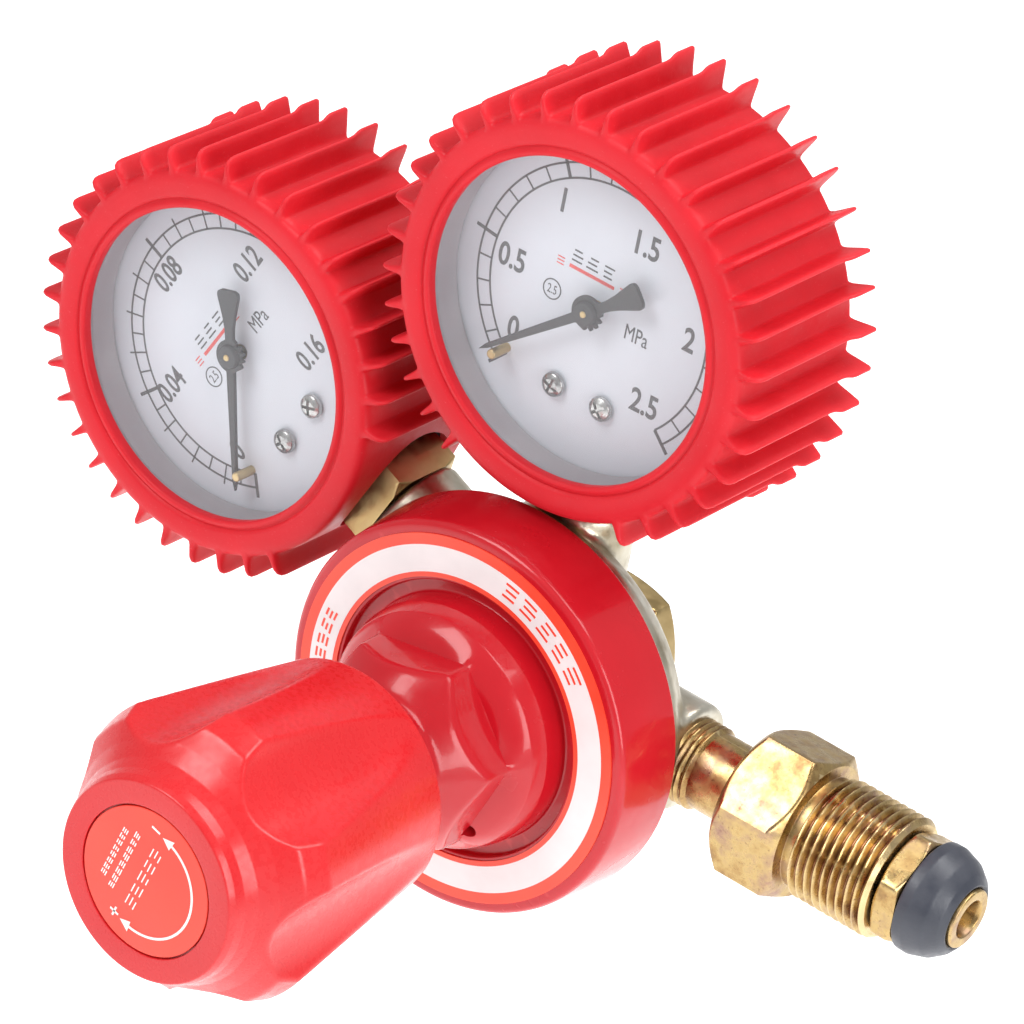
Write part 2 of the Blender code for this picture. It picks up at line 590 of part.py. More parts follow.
def gear_teeth(teeth, first, count, turn):
    """Slim trapezoid teeth on a pitch circle; turn is the angle of tooth zero, in degrees."""
    pitch_radius = GEAR_MODULE * teeth / 2.0
    step = 360.0 / teeth
    points = []
    for i in range(count):
        middle = turn + (first + i) * step
        for offset, height in ((-0.27, -1.15), (-0.12, 0.8), (0.12, 0.8), (0.27, -1.15)):
            radius = pitch_radius + height * GEAR_MODULE
            points += arc_points(radius, (middle + offset * step,))
    return points


def make_movement(prefix, frame):
    """Two brass plates on three pillars, with bearings for the pinion and the sector."""
    plate = [(-9.3, -14.8), (9.3, -14.8), (9.3, 2.0), (5.0, 4.5), (-5.0, 4.5), (-9.3, 2.0)]
    movement = prism(prefix + "movement", plate, -6.6, -5.8, BRASS, frame)
    boolean(movement, cutter(prefix + "back_plate", prism_bmesh(plate, 0.4, 1.2), frame), "UNION")
    for i, (x, z) in enumerate(((-8.0, 0.5), (8.0, 0.5), (7.2, -13.2))):
        spot = empty("%spillar_frame_%d" % (prefix, i), (x, 0, z), None, frame)
        boolean(movement, round_cutter("%spillar_%d" % (prefix, i), 0.9, -6.2, 0.8, spot, 8),
                "UNION")
    for name, z in (("arbor", 0.0), ("axle", SECTOR_PIVOT_Z)):
        spot = empty("%s%s_hole_frame" % (prefix, name), (0, 0, z), None, frame)
        boolean(movement, round_cutter("%s%s_hole" % (prefix, name), 0.85, -9, 3, spot, 10))


def make_gears(prefix, pinion_frame, sector_frame):
    pinion_turn = -90.0 + 180.0 / PINION_TEETH
    pinion = prism(prefix + "pinion", gear_teeth(PINION_TEETH, 0, PINION_TEETH, pinion_turn),
                   -4.6, -2.2, BRASS, pinion_frame)
    shaft = cutter(prefix + "pinion_shaft", spun_bmesh([
        (0, DIAL_FRONT - 2.0), (0.45, DIAL_FRONT - 2.0), (0.5, -5.0), (0.5, 1.9), (0, 1.9)], 8),
        pinion_frame)
    boolean(pinion, shaft, "UNION")
    tail = [(-1.6, 1.2), (-4.6, 2.7), (-5.8, 2.1), (-5.2, 0.9), (-1.6, -0.6)]
    outline = (gear_teeth(SECTOR_TEETH, -9, 11, 90.0) + tail
               + [(-1.1, -1.3), (1.1, -1.3), (1.8, 0.3)])
    sector = prism(prefix + "sector_gear", outline, -4.0, -2.8, BRASS, sector_frame)
    axle = cutter(prefix + "sector_axle", spun_bmesh([
        (0, -6.9), (0.5, -6.9), (0.5, 1.5), (0, 1.5)], 8), sector_frame)
    boolean(sector, axle, "UNION")
    angle = math.radians(SECTOR_TAIL_ANGLE)
    spot = empty(prefix + "tail_pin_frame", (SECTOR_TAIL * math.cos(angle), 0,
                                             SECTOR_TAIL * math.sin(angle)), None, sector_frame)
    boolean(sector, round_cutter(prefix + "tail_pin", 0.35, -3.2, -1.0, spot, 8), "UNION")


def make_hairspring(prefix, frame):
    """Flat spiral between the pinion's arbor and the plates."""
    turns = 2.5
    count = 26
    inner = []
    outer = []
    for i in range(count + 1):
        t = i / count
        angle = 360.0 * turns * t
        radius = 1.0 + 2.9 * t
        inner += arc_points(radius - 0.12, (angle,))
        outer += arc_points(radius + 0.12, (angle,))
    prism(prefix + "hairspring", inner + list(reversed(outer)), -1.8, -0.7, SPRING_STEEL, frame)


def make_bourdon(prefix, frame, tube_frame, link_frame):
    """Flattened C tube whose free end pulls the sector through the link."""
    bm = bmesh.new()
    rings = []
    steps = 20
    root_angle, tip_angle, radius = TUBE_ROOT_ANGLE, TUBE_TIP_ANGLE, TUBE_BEND
    section = [(-1.2, 3.0), (-1.2, 6.0), (0.0, 7.0), (1.2, 6.0), (1.2, 3.0), (0.0, 2.0)]
    for i in range(steps + 1):
        angle = math.radians(root_angle + (tip_angle - root_angle) * i / steps)
        rings.append([bm.verts.new(((radius + r) * math.cos(angle), y,
                                    (radius + r) * math.sin(angle))) for r, y in section])
    for first, second in zip(rings, rings[1:]):
        for j in range(len(section)):
            k = (j + 1) % len(section)
            bm.faces.new((first[j], first[k], second[k], second[j]))
    bm.faces.new(rings[0])
    bm.faces.new(list(reversed(rings[-1])))
    root = arc_points(radius, (root_angle,))[0]
    bmesh.ops.translate(bm, vec=(-root[0], 0, -root[1]), verts=bm.verts)
    tube = finish_object(prefix + "bourdon_tube", bm, BRASS, tube_frame)
    tip = arc_points(LINK_PIN_RADIUS, (tip_angle,))[0]
    spot = empty(prefix + "tip_frame", (tip[0] - root[0], 0, tip[1] - root[1]),
                 Matrix.Rotation(-math.radians(tip_angle), 3, "Y"), tube_frame)
    boolean(tube, cutter(prefix + "tip_ear", prism_bmesh([
        (-0.9, -0.9), (2.0, -0.9), (2.0, 1.6), (-0.9, 1.6)], 2.3, 3.6), spot), "UNION")
    boolean(tube, round_cutter(prefix + "tip_pin", 0.35, -3.0, 2.8, spot, 8), "UNION")
    ends = arc_points(1.25, range(-270, -89, 45)) + [
        (LINK_LENGTH + x, z) for x, z in arc_points(1.25, range(-90, 91, 45))]
    link = prism(prefix + "link", ends, -2.5, -1.4, BRASS, link_frame)
    for i, x in enumerate((0.0, LINK_LENGTH)):
        spot = empty("%slink_hole_frame_%d" % (prefix, i), (x, 0, 0), None, link_frame)
        boolean(link, round_cutter("%slink_hole_%d" % (prefix, i), 0.7, -4, 0, spot, 10))


def make_stem(prefix, frame):
    """Threaded stem with its wrench square and the block that carries tube and movement."""
    half = STEM_SQUARE / 2.0
    down = empty(prefix + "stem_frame", (0, 0, 0), facing(-90.0), frame)
    stem = lathe(prefix + "stem", [
        (0, 23.8), (half * 1.5, 23.8), (half * 1.5, STEM_SHOULDER - 1.0),
        (half * 1.22, STEM_SHOULDER), (6.1, STEM_SHOULDER), (6.5, STEM_SHOULDER + 0.6),
        (6.5, STEM_SHOULDER + 10.2), (5.9, STEM_SHOULDER + 10.8), (0, STEM_SHOULDER + 10.8)],
        BRASS, down, 20)
    boolean(stem, cutter(prefix + "stem_square", prism_bmesh(
        polygon(4, STEM_SQUARE), 20.0, 52.0), down), "INTERSECT")
    block = [(-7.0, -24.6), (7.0, -24.6), (7.0, -15.2), (-7.0, -15.2)]
    ledge = [(-5.0, -24.4), (5.0, -24.4), (5.0, -12.8), (-5.0, -12.8)]
    boolean(stem, cutter(prefix + "stem_block", prism_bmesh(block, -7.4, 7.2), frame), "UNION")
    boolean(stem, cutter(prefix + "stem_ledge", prism_bmesh(ledge, 1.6, 7.0), frame), "UNION")
    for i, x in enumerate((-DIAL_SCREW[0], DIAL_SCREW[0])):
        spot = empty("%stap_frame_%d" % (prefix, i), (x, 0, DIAL_SCREW[1]), None, frame)
        boolean(stem, round_cutter("%stap_%d" % (prefix, i), 1.3, -9.0, -5.6, spot, 10))
    boolean(stem, round_cutter(prefix + "stem_bore", 1.5, 17.5, 50.0, down, 12))
    across = Vector((7.4, 4.5, 0.0))
    turn = Vector((0.0, 1.0, 0.0)).rotation_difference(across).to_matrix()
    side = empty(prefix + "side_bore_frame", (0, 0, -19.0), turn, frame)
    boolean(stem, round_cutter(prefix + "side_bore", 0.9, 0.0, 14.0, side, 10))


def make_gauge(spec, root):
    prefix = spec["prefix"]
    turn = math.radians(spec["angle"])
    place = (spec["distance"] * math.cos(turn), PORT_Y, spec["distance"] * math.sin(turn))
    frame = empty(prefix + "frame", place, Matrix.Rotation(math.radians(90.0) - turn, 3, "Y"),
                  root)
    pointer_frame = empty(prefix + "pointer_frame", (0, 0, 0), Matrix.Rotation(
        math.radians(90.0 - POINTER_REST), 3, "Y"), frame)
    pinion_frame = empty(prefix + "pinion_frame", (0, 0, 0), None, frame)
    sector_frame = empty(prefix + "sector_frame", (0, 0, SECTOR_PIVOT_Z), None, frame)
    tube_root = arc_points(TUBE_BEND, (TUBE_ROOT_ANGLE,))[0]
    tube_frame = empty(prefix + "tube_frame", (tube_root[0], 0, tube_root[1]), None, frame)
    tip = arc_points(LINK_PIN_RADIUS, (TUBE_TIP_ANGLE,))[0]
    link_frame = empty(prefix + "link_frame", (tip[0], 0, tip[1]), Matrix.Rotation(
        -math.radians(LINK_ANGLE), 3, "Y"), frame)
    make_boot(prefix, frame)
    make_case(prefix, frame)
    make_dial(prefix, frame)
    make_pointer(prefix, pointer_frame)
    make_stem(prefix, frame)
    make_bourdon(prefix, frame, tube_frame, link_frame)
    make_movement(prefix, frame)
    make_gears(prefix, pinion_frame, sector_frame)
    make_hairspring(prefix, pinion_frame)


def main():
    clear_scene()
    root = empty("assembly", (-INLET_TIP_X, -INLET_Y, 0.0))
    carriage = empty("seat_carriage", (0, 0, 0), None, root)
    knob_frame = empty("knob_axis", (0, 0, 0), None, carriage)
    valve = empty("valve_axis", (0, 0, 0), None, root)
    inlet = empty("inlet_frame", (0, INLET_Y, 0), facing(0.0), root)
    union_frame = empty("union_nut_axis", (0, 0, 0), None, inlet)
    high = empty("high_port", (0, PORT_Y, 0), facing(HIGH_GAUGE["angle"]), root)
    low = empty("low_port", (0, PORT_Y, 0), facing(LOW_GAUGE["angle"]), root)
    outlet = empty("outlet_port", (0, PORT_Y, 0), facing(OUTLET_ANGLE), root)
    outlet_nut_frame = empty("outlet_nut_axis", (0, 0, 0), None, outlet)
    make_body(root, inlet, high, low, outlet)
    make_bonnet(root)
    make_diaphragm_group(root, valve)
    make_adjuster(root, carriage, knob_frame)
    make_valve(root, valve)
    make_inlet(inlet, union_frame)
    make_outlet(outlet, outlet_nut_frame)
    for spec in (HIGH_GAUGE, LOW_GAUGE):
        make_gauge(spec, root)


main()
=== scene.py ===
"""Looks of the gas pressure regulator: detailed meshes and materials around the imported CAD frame.

Lengths in this file are millimetres until place() turns them into the frame's metres. Each group of
pieces is built about its own axis, which is local +Y, and the axes come from the frame.
"""
import json
import math
import random

import bmesh
import bpy
from mathutils import Matrix, Vector


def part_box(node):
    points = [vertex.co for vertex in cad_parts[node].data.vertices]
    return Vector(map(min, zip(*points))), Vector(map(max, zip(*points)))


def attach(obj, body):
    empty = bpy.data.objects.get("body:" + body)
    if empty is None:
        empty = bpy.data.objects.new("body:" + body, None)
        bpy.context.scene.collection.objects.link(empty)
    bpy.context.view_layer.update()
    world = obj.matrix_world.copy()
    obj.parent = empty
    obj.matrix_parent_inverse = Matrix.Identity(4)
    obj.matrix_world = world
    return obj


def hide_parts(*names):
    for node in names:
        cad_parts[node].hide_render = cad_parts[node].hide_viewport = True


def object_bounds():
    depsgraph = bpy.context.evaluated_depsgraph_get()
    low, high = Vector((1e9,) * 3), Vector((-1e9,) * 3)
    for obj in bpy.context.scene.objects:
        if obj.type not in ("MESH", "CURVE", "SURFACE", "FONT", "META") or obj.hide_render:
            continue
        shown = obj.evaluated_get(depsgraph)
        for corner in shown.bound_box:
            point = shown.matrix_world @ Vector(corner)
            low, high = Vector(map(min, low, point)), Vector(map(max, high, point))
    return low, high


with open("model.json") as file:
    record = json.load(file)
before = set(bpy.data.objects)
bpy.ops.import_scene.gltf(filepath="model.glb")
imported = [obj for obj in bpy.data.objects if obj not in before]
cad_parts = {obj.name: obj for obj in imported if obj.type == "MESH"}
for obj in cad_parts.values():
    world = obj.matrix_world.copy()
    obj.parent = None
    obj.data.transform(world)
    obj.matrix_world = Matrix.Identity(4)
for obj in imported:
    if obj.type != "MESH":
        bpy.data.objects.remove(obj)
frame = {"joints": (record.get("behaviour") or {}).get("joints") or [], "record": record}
cad_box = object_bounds()

MM = 0.001
TAU = 2.0 * math.pi
SHARP_ANGLE = 40.0              # degrees between faces above which an edge stays sharp

# ---- axes taken from the frame --------------------------------------------------------------
JOINTS = {joint["name"]: joint for joint in frame["joints"]}


def middle(node):
    low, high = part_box(node)
    return (Vector(low) + Vector(high)) / 2.0


def axis_frame(origin, direction):
    """Local +Y along direction, starting at origin (metres)."""
    turn = Vector((0.0, 1.0, 0.0)).rotation_difference(Vector(direction)).to_matrix().to_4x4()
    return Matrix.Translation(origin) @ turn


knob_middle = middle("knob_label")
CENTRE = Vector((knob_middle.x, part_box("bonnet_label")[0][1], knob_middle.z))
INLET_Y = (middle("inlet_nipple").y - CENTRE.y) / MM
PORT_Y = (middle("inlet_gauge_stem").y - CENTRE.y) / MM

KNOB = Matrix.Translation(CENTRE)
INLET = axis_frame(CENTRE + Vector((0, INLET_Y * MM, 0)), (1, 0, 0))
OUTLET = axis_frame(CENTRE + Vector((0, PORT_Y * MM, 0)), JOINTS["outlet_nut_turn"]["axis"])
GAUGES = ("inlet_gauge_", "outlet_gauge_")


def gauge_frame(prefix):
    """Dial's own axes: +X right, +Z away from the stem, +Y to the back, at the stem plane."""
    centre = Vector(JOINTS[prefix + "pointer_turn"]["pos_m"])
    centre.y = CENTRE.y + PORT_Y * MM
    away = math.atan2(centre.z - CENTRE.z, centre.x - CENTRE.x)
    return Matrix.Translation(centre) @ Matrix.Rotation(math.pi / 2.0 - away, 4, "Y")


def port_frame(prefix):
    """Local +Y from the knob axis out along the gauge's stem."""
    centre = Vector(JOINTS[prefix + "pointer_turn"]["pos_m"])
    direction = Vector((centre.x - CENTRE.x, 0.0, centre.z - CENTRE.z)).normalized()
    return axis_frame(CENTRE + Vector((0, PORT_Y * MM, 0)), direction)


# ---- mesh helpers ---------------------------------------------------------------------------
def place(name, bm, matrix, finish, body, node=None, smooth=SHARP_ANGLE):
    """Finish a mesh in mm: put it in the frame, give it its material and its body."""
    bmesh.ops.recalc_face_normals(bm, faces=bm.faces)
    mesh = bpy.data.meshes.new(name)
    bm.to_mesh(mesh)
    bm.free()
    mesh.transform(matrix @ Matrix.Scale(MM, 4))
    mesh.materials.append(finish)
    mesh.shade_smooth()
    mesh.set_sharp_from_angle(angle=math.radians(smooth))
    made = bpy.data.objects.new(name, mesh)
    bpy.context.scene.collection.objects.link(made)
    if node:
        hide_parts(*([node] if isinstance(node, str) else node))
    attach(made, body)
    return made


def rounded(points, segments=5):
    """Corner points (r, y) or (r, y, fillet) as a dense outline with round corners."""
    count = len(points)
    outline = []
    for i, point in enumerate(points):
        radius = point[2] if len(point) > 2 else 0.0
        here = Vector(point[:2])
        if radius <= 0.0:
            outline.append(here)
            continue
        to_last = Vector(points[i - 1][:2]) - here
        to_next = Vector(points[(i + 1) % count][:2]) - here
        half = to_last.angle(to_next) / 2.0
        reach = min(radius / math.tan(half), to_last.length * 0.49, to_next.length * 0.49)
        start = here + to_last.normalized() * reach
        end = here + to_next.normalized() * reach
        for k in range(segments + 1):
            t = k / segments
            outline.append(start * (1 - t) ** 2 + here * 2 * t * (1 - t) + end * t ** 2)
    return [(p.x, p.y) for p in outline]


def dense(outline, step, low=-1e9, high=1e9):
    """Split the outline's long runs between two heights, so a shape function can bend them."""
    result = []
    for first, second in zip(outline, outline[1:] + outline[:1]):
        result.append(first)
        length = math.dist(first, second)
        inside = low <= min(first[1], second[1]) and max(first[1], second[1]) <= high
        if inside and length > step and (first[0] > 0 or second[0] > 0):
            parts = int(math.ceil(length / step))
            for k in range(1, parts):
                t = k / parts
                result.append((first[0] + (second[0] - first[0]) * t,
                               first[1] + (second[1] - first[1]) * t))
    return result


def turned(outline, steps=96, shape=None):
    """Closed outline (r, y) turned about +Y; shape(angle, r, y) may change the radius."""
    bm = bmesh.new()
    rings = []
    for radius, height in outline:
        if radius <= 0.0:
            rings.append([bm.verts.new((0.0, height, 0.0))])
            continue
        ring = []
        for i in range(steps):
            turn = TAU * i / steps
            r = shape(turn, radius, height) if shape else radius
            ring.append(bm.verts.new((r * math.cos(turn), height, r * math.sin(turn))))
        rings.append(ring)
    for first, second in zip(rings, rings[1:] + rings[:1]):
        if len(first) == 1 and len(second) == 1:
            continue
        for i in range(steps):
            j = (i + 1) % steps
            if len(first) == 1:
                bm.faces.new((first[0], second[j], second[i]))
            elif len(second) == 1:
                bm.faces.new((first[i], first[j], second[0]))
            else:
                bm.faces.new((first[i], first[j], second[j], second[i]))
    return bm


def prism(outline, front, back):
    """Outline of (x, z) points as a plate between two depths."""
    bm = bmesh.new()
    near = [bm.verts.new((x, front, z)) for x, z in outline]
    far = [bm.verts.new((x, back, z)) for x, z in outline]
    bm.faces.new(near)
    bm.faces.new(list(reversed(far)))
    for i in range(len(outline)):
        j = (i + 1) % len(outline)
        bm.faces.new((near[j], near[i], far[i], far[j]))
    return bm


def add(target, bm, matrix=None):
    """Join one bmesh into another."""
    piece = bpy.data.meshes.new("piece")
    if matrix is not None:
        bmesh.ops.transform(bm, matrix=matrix, verts=bm.verts)
    bm.to_mesh(piece)
    bm.free()
    target.from_mesh(piece)
    bpy.data.meshes.remove(piece)


def modifier(made, kind, **values):
    mod = made.modifiers.new(kind.lower(), kind)
    for key, value in values.items():
        setattr(mod, key, value)
    return mod


def apply_modifiers(made):
    """Bake the modifier stack into the mesh."""
    graph = bpy.context.evaluated_depsgraph_get()
    mesh = bpy.data.meshes.new_from_object(made.evaluated_get(graph))
    made.modifiers.clear()
    made.data = mesh


def cut(made, bm, matrix, operation="DIFFERENCE"):
    """Boolean with a bmesh in mm, applied at once."""
    mesh = bpy.data.meshes.new("cutter")
    bmesh.ops.recalc_face_normals(bm, faces=bm.faces)
    bm.to_mesh(mesh)
    bm.free()
    mesh.transform(matrix @ Matrix.Scale(MM, 4))
    other = bpy.data.objects.new("cutter", mesh)
    bpy.context.scene.collection.objects.link(other)
    modifier(made, "BOOLEAN", object=other, operation=operation, solver="EXACT")
    apply_modifiers(made)
    made.data.shade_smooth()
    made.data.set_sharp_from_angle(angle=math.radians(SHARP_ANGLE))
    bpy.data.objects.remove(other, do_unlink=True)


def soft_min(a, b, blend):
    """The smaller of two radii, with the edge between them rounded over blend."""
    h = max(blend - abs(a - b), 0.0) / blend
    return min(a, b) - h * h * blend * 0.25


def thread_depth(angle, y, pitch, start, end, left_hand=False):
    """0 at a crest and 1 at a root of a helical V thread, fading out at both ends."""
    turn = angle / TAU
    phase = ((y / pitch) + (turn if left_hand else -turn)) % 1.0
    wave = abs(phase * 2.0 - 1.0)
    wave = min(max((wave - 0.12) / 0.76, 0.0), 1.0)
    fade = min(max((y - start) / (0.6 * pitch), 0.0), max((end - y) / (0.6 * pitch), 0.0), 1.0)
    return wave * fade


def polygon_radius(angle, sides, across_flats, flat_angle=0.0):
    """Distance to a regular polygon's wall at angle (radians); one flat faces flat_angle degrees."""
    sector = TAU / sides
    offset = (angle - math.radians(flat_angle) + sector / 2.0) % sector - sector / 2.0
    return across_flats / 2.0 / math.cos(offset)


# ---- materials ------------------------------------------------------------------------------
class Finish:
    """A Principled material whose colour, roughness and bump come from noise in object space."""

    def __init__(self, name, metallic=0.0, **sockets):
        self.material = bpy.data.materials.new(name)
        self.material.use_nodes = True
        self.tree = self.material.node_tree
        self.shader = self.tree.nodes["Principled BSDF"]
        self.shader.inputs["Metallic"].default_value = metallic
        for key, value in sockets.items():
            self.shader.inputs[key.replace("_", " ")].default_value = value
        self.place = self.tree.nodes.new("ShaderNodeTexCoord").outputs["Object"]
        self.normal = None

    def noise(self, scale, detail=3.0, stretch=None, roughness=0.55):
        """Noise between 0 and 1; scale is in features per metre."""
        node = self.tree.nodes.new("ShaderNodeTexNoise")
        node.inputs["Scale"].default_value = scale
        node.inputs["Detail"].default_value = detail
        node.inputs["Roughness"].default_value = roughness
        source = self.place
        if stretch:
            mapping = self.tree.nodes.new("ShaderNodeMapping")
            mapping.inputs["Scale"].default_value = stretch
            self.tree.links.new(source, mapping.inputs["Vector"])
            source = mapping.outputs["Vector"]
        self.tree.links.new(source, node.inputs["Vector"])
        return node.outputs["Fac"]

    def ramp(self, value, stops):
        """Colour ramp; stops are (position, (r, g, b))."""
        node = self.tree.nodes.new("ShaderNodeValToRGB")
        elements = node.color_ramp.elements
        while len(elements) < len(stops):
            elements.new(0.5)
        for element, (position, colour) in zip(elements, stops):
            element.position = position
            element.color = (*colour, 1.0)
        self.tree.links.new(value, node.inputs["Fac"])
        return node.outputs["Color"]

    def span(self, value, low, high, start=0.35, end=0.65):
        """The value's start..end range stretched to low..high."""
        node = self.tree.nodes.new("ShaderNodeMapRange")
        node.inputs["From Min"].default_value = start
        node.inputs["From Max"].default_value = end
        node.inputs["To Min"].default_value = low
        node.inputs["To Max"].default_value = high
        self.tree.links.new(value, node.inputs["Value"])
        return node.outputs["Result"]

    def mix(self, factor, first, second):
        """Colour mix; each colour is a socket or an (r, g, b)."""
        node = self.tree.nodes.new("ShaderNodeMix")
        node.data_type = "RGBA"
        self.tree.links.new(factor, node.inputs["Factor"])
        for socket, colour in ((node.inputs[6], first), (node.inputs[7], second)):
            if isinstance(colour, tuple):
                socket.default_value = (*colour, 1.0)
            else:
                self.tree.links.new(colour, socket)
        return node.outputs[2]

    def attribute(self, name):
        node = self.tree.nodes.new("ShaderNodeAttribute")
        node.attribute_name = name
        return node.outputs["Fac"]

    def edges(self, low=0.5, high=0.56):
        """1 on sharp convex edges and 0 elsewhere."""
        node = self.tree.nodes.new("ShaderNodeNewGeometry")
        return self.span(node.outputs["Pointiness"], 0.0, 1.0, low, high)

    def colour(self, socket):
        self.tree.links.new(socket, self.shader.inputs["Base Color"])

    def rough(self, socket):
        self.tree.links.new(socket, self.shader.inputs["Roughness"])

    def bump(self, value, depth):
        """Stack a bump of depth metres."""
        node = self.tree.nodes.new("ShaderNodeBump")
        node.inputs["Distance"].default_value = depth
        self.tree.links.new(value, node.inputs["Height"])
        if self.normal is not None:
            self.tree.links.new(self.normal, node.inputs["Normal"])
        self.normal = node.outputs["Normal"]
        self.tree.links.new(self.normal, self.shader.inputs["Normal"])


def simple_finish(name, dark, light, rough, metallic=0.0, grain=1500.0, depth=0.00002, patch=90.0,
                  **sockets):
    """Two close tones in soft patches, a fine grain bump and matching roughness."""
    made = Finish(name, metallic, **sockets)
    made.colour(made.ramp(made.noise(patch), [(0.35, dark), (0.65, light)]))
    made.rough(made.span(made.noise(patch * 2.0), rough[0], rough[1]))
    made.bump(made.noise(grain), depth)
    return made.material


def red_rubber():
    made = Finish("boot_rubber_red", 0.0, Specular_IOR_Level=0.22)
    patches = made.ramp(made.noise(60.0), [(0.3, (0.58, 0.013, 0.022)), (0.7, (0.66, 0.019, 0.030))])
    # painted light and shade: fin crests turn a lighter red with fin height, so the roots between the
    # fins stay darker
    crest_light = made.span(made.attribute("tip"), 0.0, 0.75, 0.55, 1.0)
    crest_lit = made.mix(crest_light, patches, (0.76, 0.040, 0.052))
    dust = made.span(made.noise(2600.0, 2.0), 0.0, 0.35, 0.66, 0.80)
    made.colour(made.mix(dust, crest_lit, (0.74, 0.16, 0.17)))
    made.rough(made.span(made.noise(240.0), 0.36, 0.52))
    made.bump(made.noise(420.0), 0.00008)
    made.bump(made.noise(3000.0), 0.000015)
    made.shader.inputs["Subsurface Weight"].default_value = 0.08
    made.shader.inputs["Subsurface Scale"].default_value = 0.001
    return made.material


def red_paint():
    made = Finish("bonnet_enamel_red", 0.0, Coat_Weight=0.35, Coat_Roughness=0.06,
                  Specular_IOR_Level=0.3)
    tone = made.ramp(made.noise(35.0), [(0.3, (0.47, 0.006, 0.013)), (0.7, (0.55, 0.010, 0.019))])
    # painted highlight: the enamel turns a lighter red along convex edges, standing in for light caught
    # on the edges
    edge_highlight = made.edges(0.54, 0.62)
    made.colour(made.mix(edge_highlight, tone, (0.60, 0.03, 0.035)))
    made.rough(made.span(made.noise(150.0), 0.16, 0.28))
    made.bump(made.noise(110.0, 2.0), 0.00025)
    made.bump(made.noise(700.0, 2.0), 0.00002)
    return made.material


def knob_red():
    made = Finish("knob_plastic_red", 0.0, Coat_Weight=0.15, Coat_Roughness=0.12,
                  Specular_IOR_Level=0.4)
    made.colour(made.ramp(made.noise(40.0), [(0.3, (0.58, 0.012, 0.016)), (0.7, (0.65, 0.017, 0.021))]))
    scuffs = made.noise(900.0, 3.0)
    made.rough(made.span(scuffs, 0.22, 0.36))
    made.bump(made.noise(160.0, 2.0), 0.00010)
    made.bump(scuffs, 0.000008)
    return made.material


def chromate_brass():
    """Yellow passivated fittings: gold with pink, violet and green bands and dark specks."""
    made = Finish("brass_passivated", 1.0)
    bands = made.ramp(made.noise(115.0, 5.0, None, 0.65), [
        (0.28, (0.20, 0.11, 0.06)), (0.42, (0.42, 0.27, 0.11)), (0.50, (0.52, 0.37, 0.16)),
        (0.60, (0.42, 0.28, 0.16)), (0.68, (0.34, 0.20, 0.15)), (0.76, (0.42, 0.33, 0.15))])
    specks = made.span(made.noise(1500.0, 3.0), 0.0, 0.75, 0.60, 0.76)
    stained = made.mix(specks, bands, (0.16, 0.08, 0.05))
    # painted shade: concave hollows and thread roots turn dark brown, standing in for the shade that
    # falls there
    hollow_shade = made.edges(0.49, 0.43)
    hollow_shaded = made.mix(hollow_shade, stained, (0.16, 0.05, 0.03))
    made.colour(made.mix(made.edges(0.53, 0.60), hollow_shaded, (0.72, 0.56, 0.30)))
    made.rough(made.span(made.noise(420.0, 4.0), 0.20, 0.42))
    made.bump(made.noise(260.0, 3.0), 0.00005)
    made.bump(made.noise(1800.0, 3.0), 0.00001)
    return made.material


def cast_nickel():
    made = Finish("casting_nickel", 1.0)
    made.colour(made.ramp(made.noise(130.0, 5.0), [
        (0.30, (0.34, 0.29, 0.20)), (0.50, (0.56, 0.51, 0.40)), (0.70, (0.66, 0.63, 0.54))]))
    made.rough(made.span(made.noise(300.0), 0.28, 0.46))
    made.bump(made.noise(240.0, 4.0), 0.00018)
    made.bump(made.noise(1400.0), 0.00003)
    return made.material


def clear_window():
    made = Finish("window_clear", 0.0, Alpha=0.055, IOR=1.49)
    made.colour(made.ramp(made.noise(25.0), [(0.3, (0.96, 0.98, 1.0)), (0.7, (1.0, 1.0, 1.0))]))
    made.rough(made.span(made.noise(50.0), 0.02, 0.06))
    made.bump(made.noise(30.0), 0.00001)
    return made.material


RUBBER = red_rubber()
ENAMEL = red_paint()
KNOB_RED = knob_red()
BRASS = chromate_brass()
CAST = cast_nickel()
WINDOW = clear_window()
DULL_BRASS = simple_finish("brass_dull", (0.42, 0.30, 0.13), (0.62, 0.47, 0.24), (0.28, 0.5), 1.0,
                           700.0, 0.00004, 140.0)
LABEL = simple_finish("label_orange", (0.88, 0.060, 0.028), (0.94, 0.078, 0.036), (0.32, 0.42))
LABEL_WHITE = simple_finish("label_white", (0.78, 0.74, 0.74), (0.86, 0.82, 0.82), (0.30, 0.42))
DISC = simple_finish("disc_orange", (0.86, 0.052, 0.030), (0.92, 0.066, 0.038), (0.34, 0.48))
INK_WHITE = simple_finish("ink_white", (0.84, 0.80, 0.78), (0.92, 0.88, 0.86), (0.4, 0.5))
INK_RED = simple_finish("ink_red", (0.62, 0.05, 0.05), (0.72, 0.09, 0.08), (0.4, 0.5))
INK_GREY = simple_finish("ink_grey", (0.060, 0.064, 0.074), (0.085, 0.09, 0.10), (0.45, 0.55))
DIAL = simple_finish("dial_white", (0.60, 0.635, 0.70), (0.63, 0.665, 0.73), (0.34, 0.42), 0.0,
                     2500.0, 0.000004, 40.0)
POINTER = simple_finish("pointer_black", (0.022, 0.024, 0.030), (0.035, 0.037, 0.043),
                        (0.40, 0.52), 0.0, 2200.0, 0.00001)
ZINC = simple_finish("zinc_bright", (0.38, 0.38, 0.38), (0.60, 0.60, 0.58), (0.18, 0.32), 1.0,
                     1800.0, 0.00001)
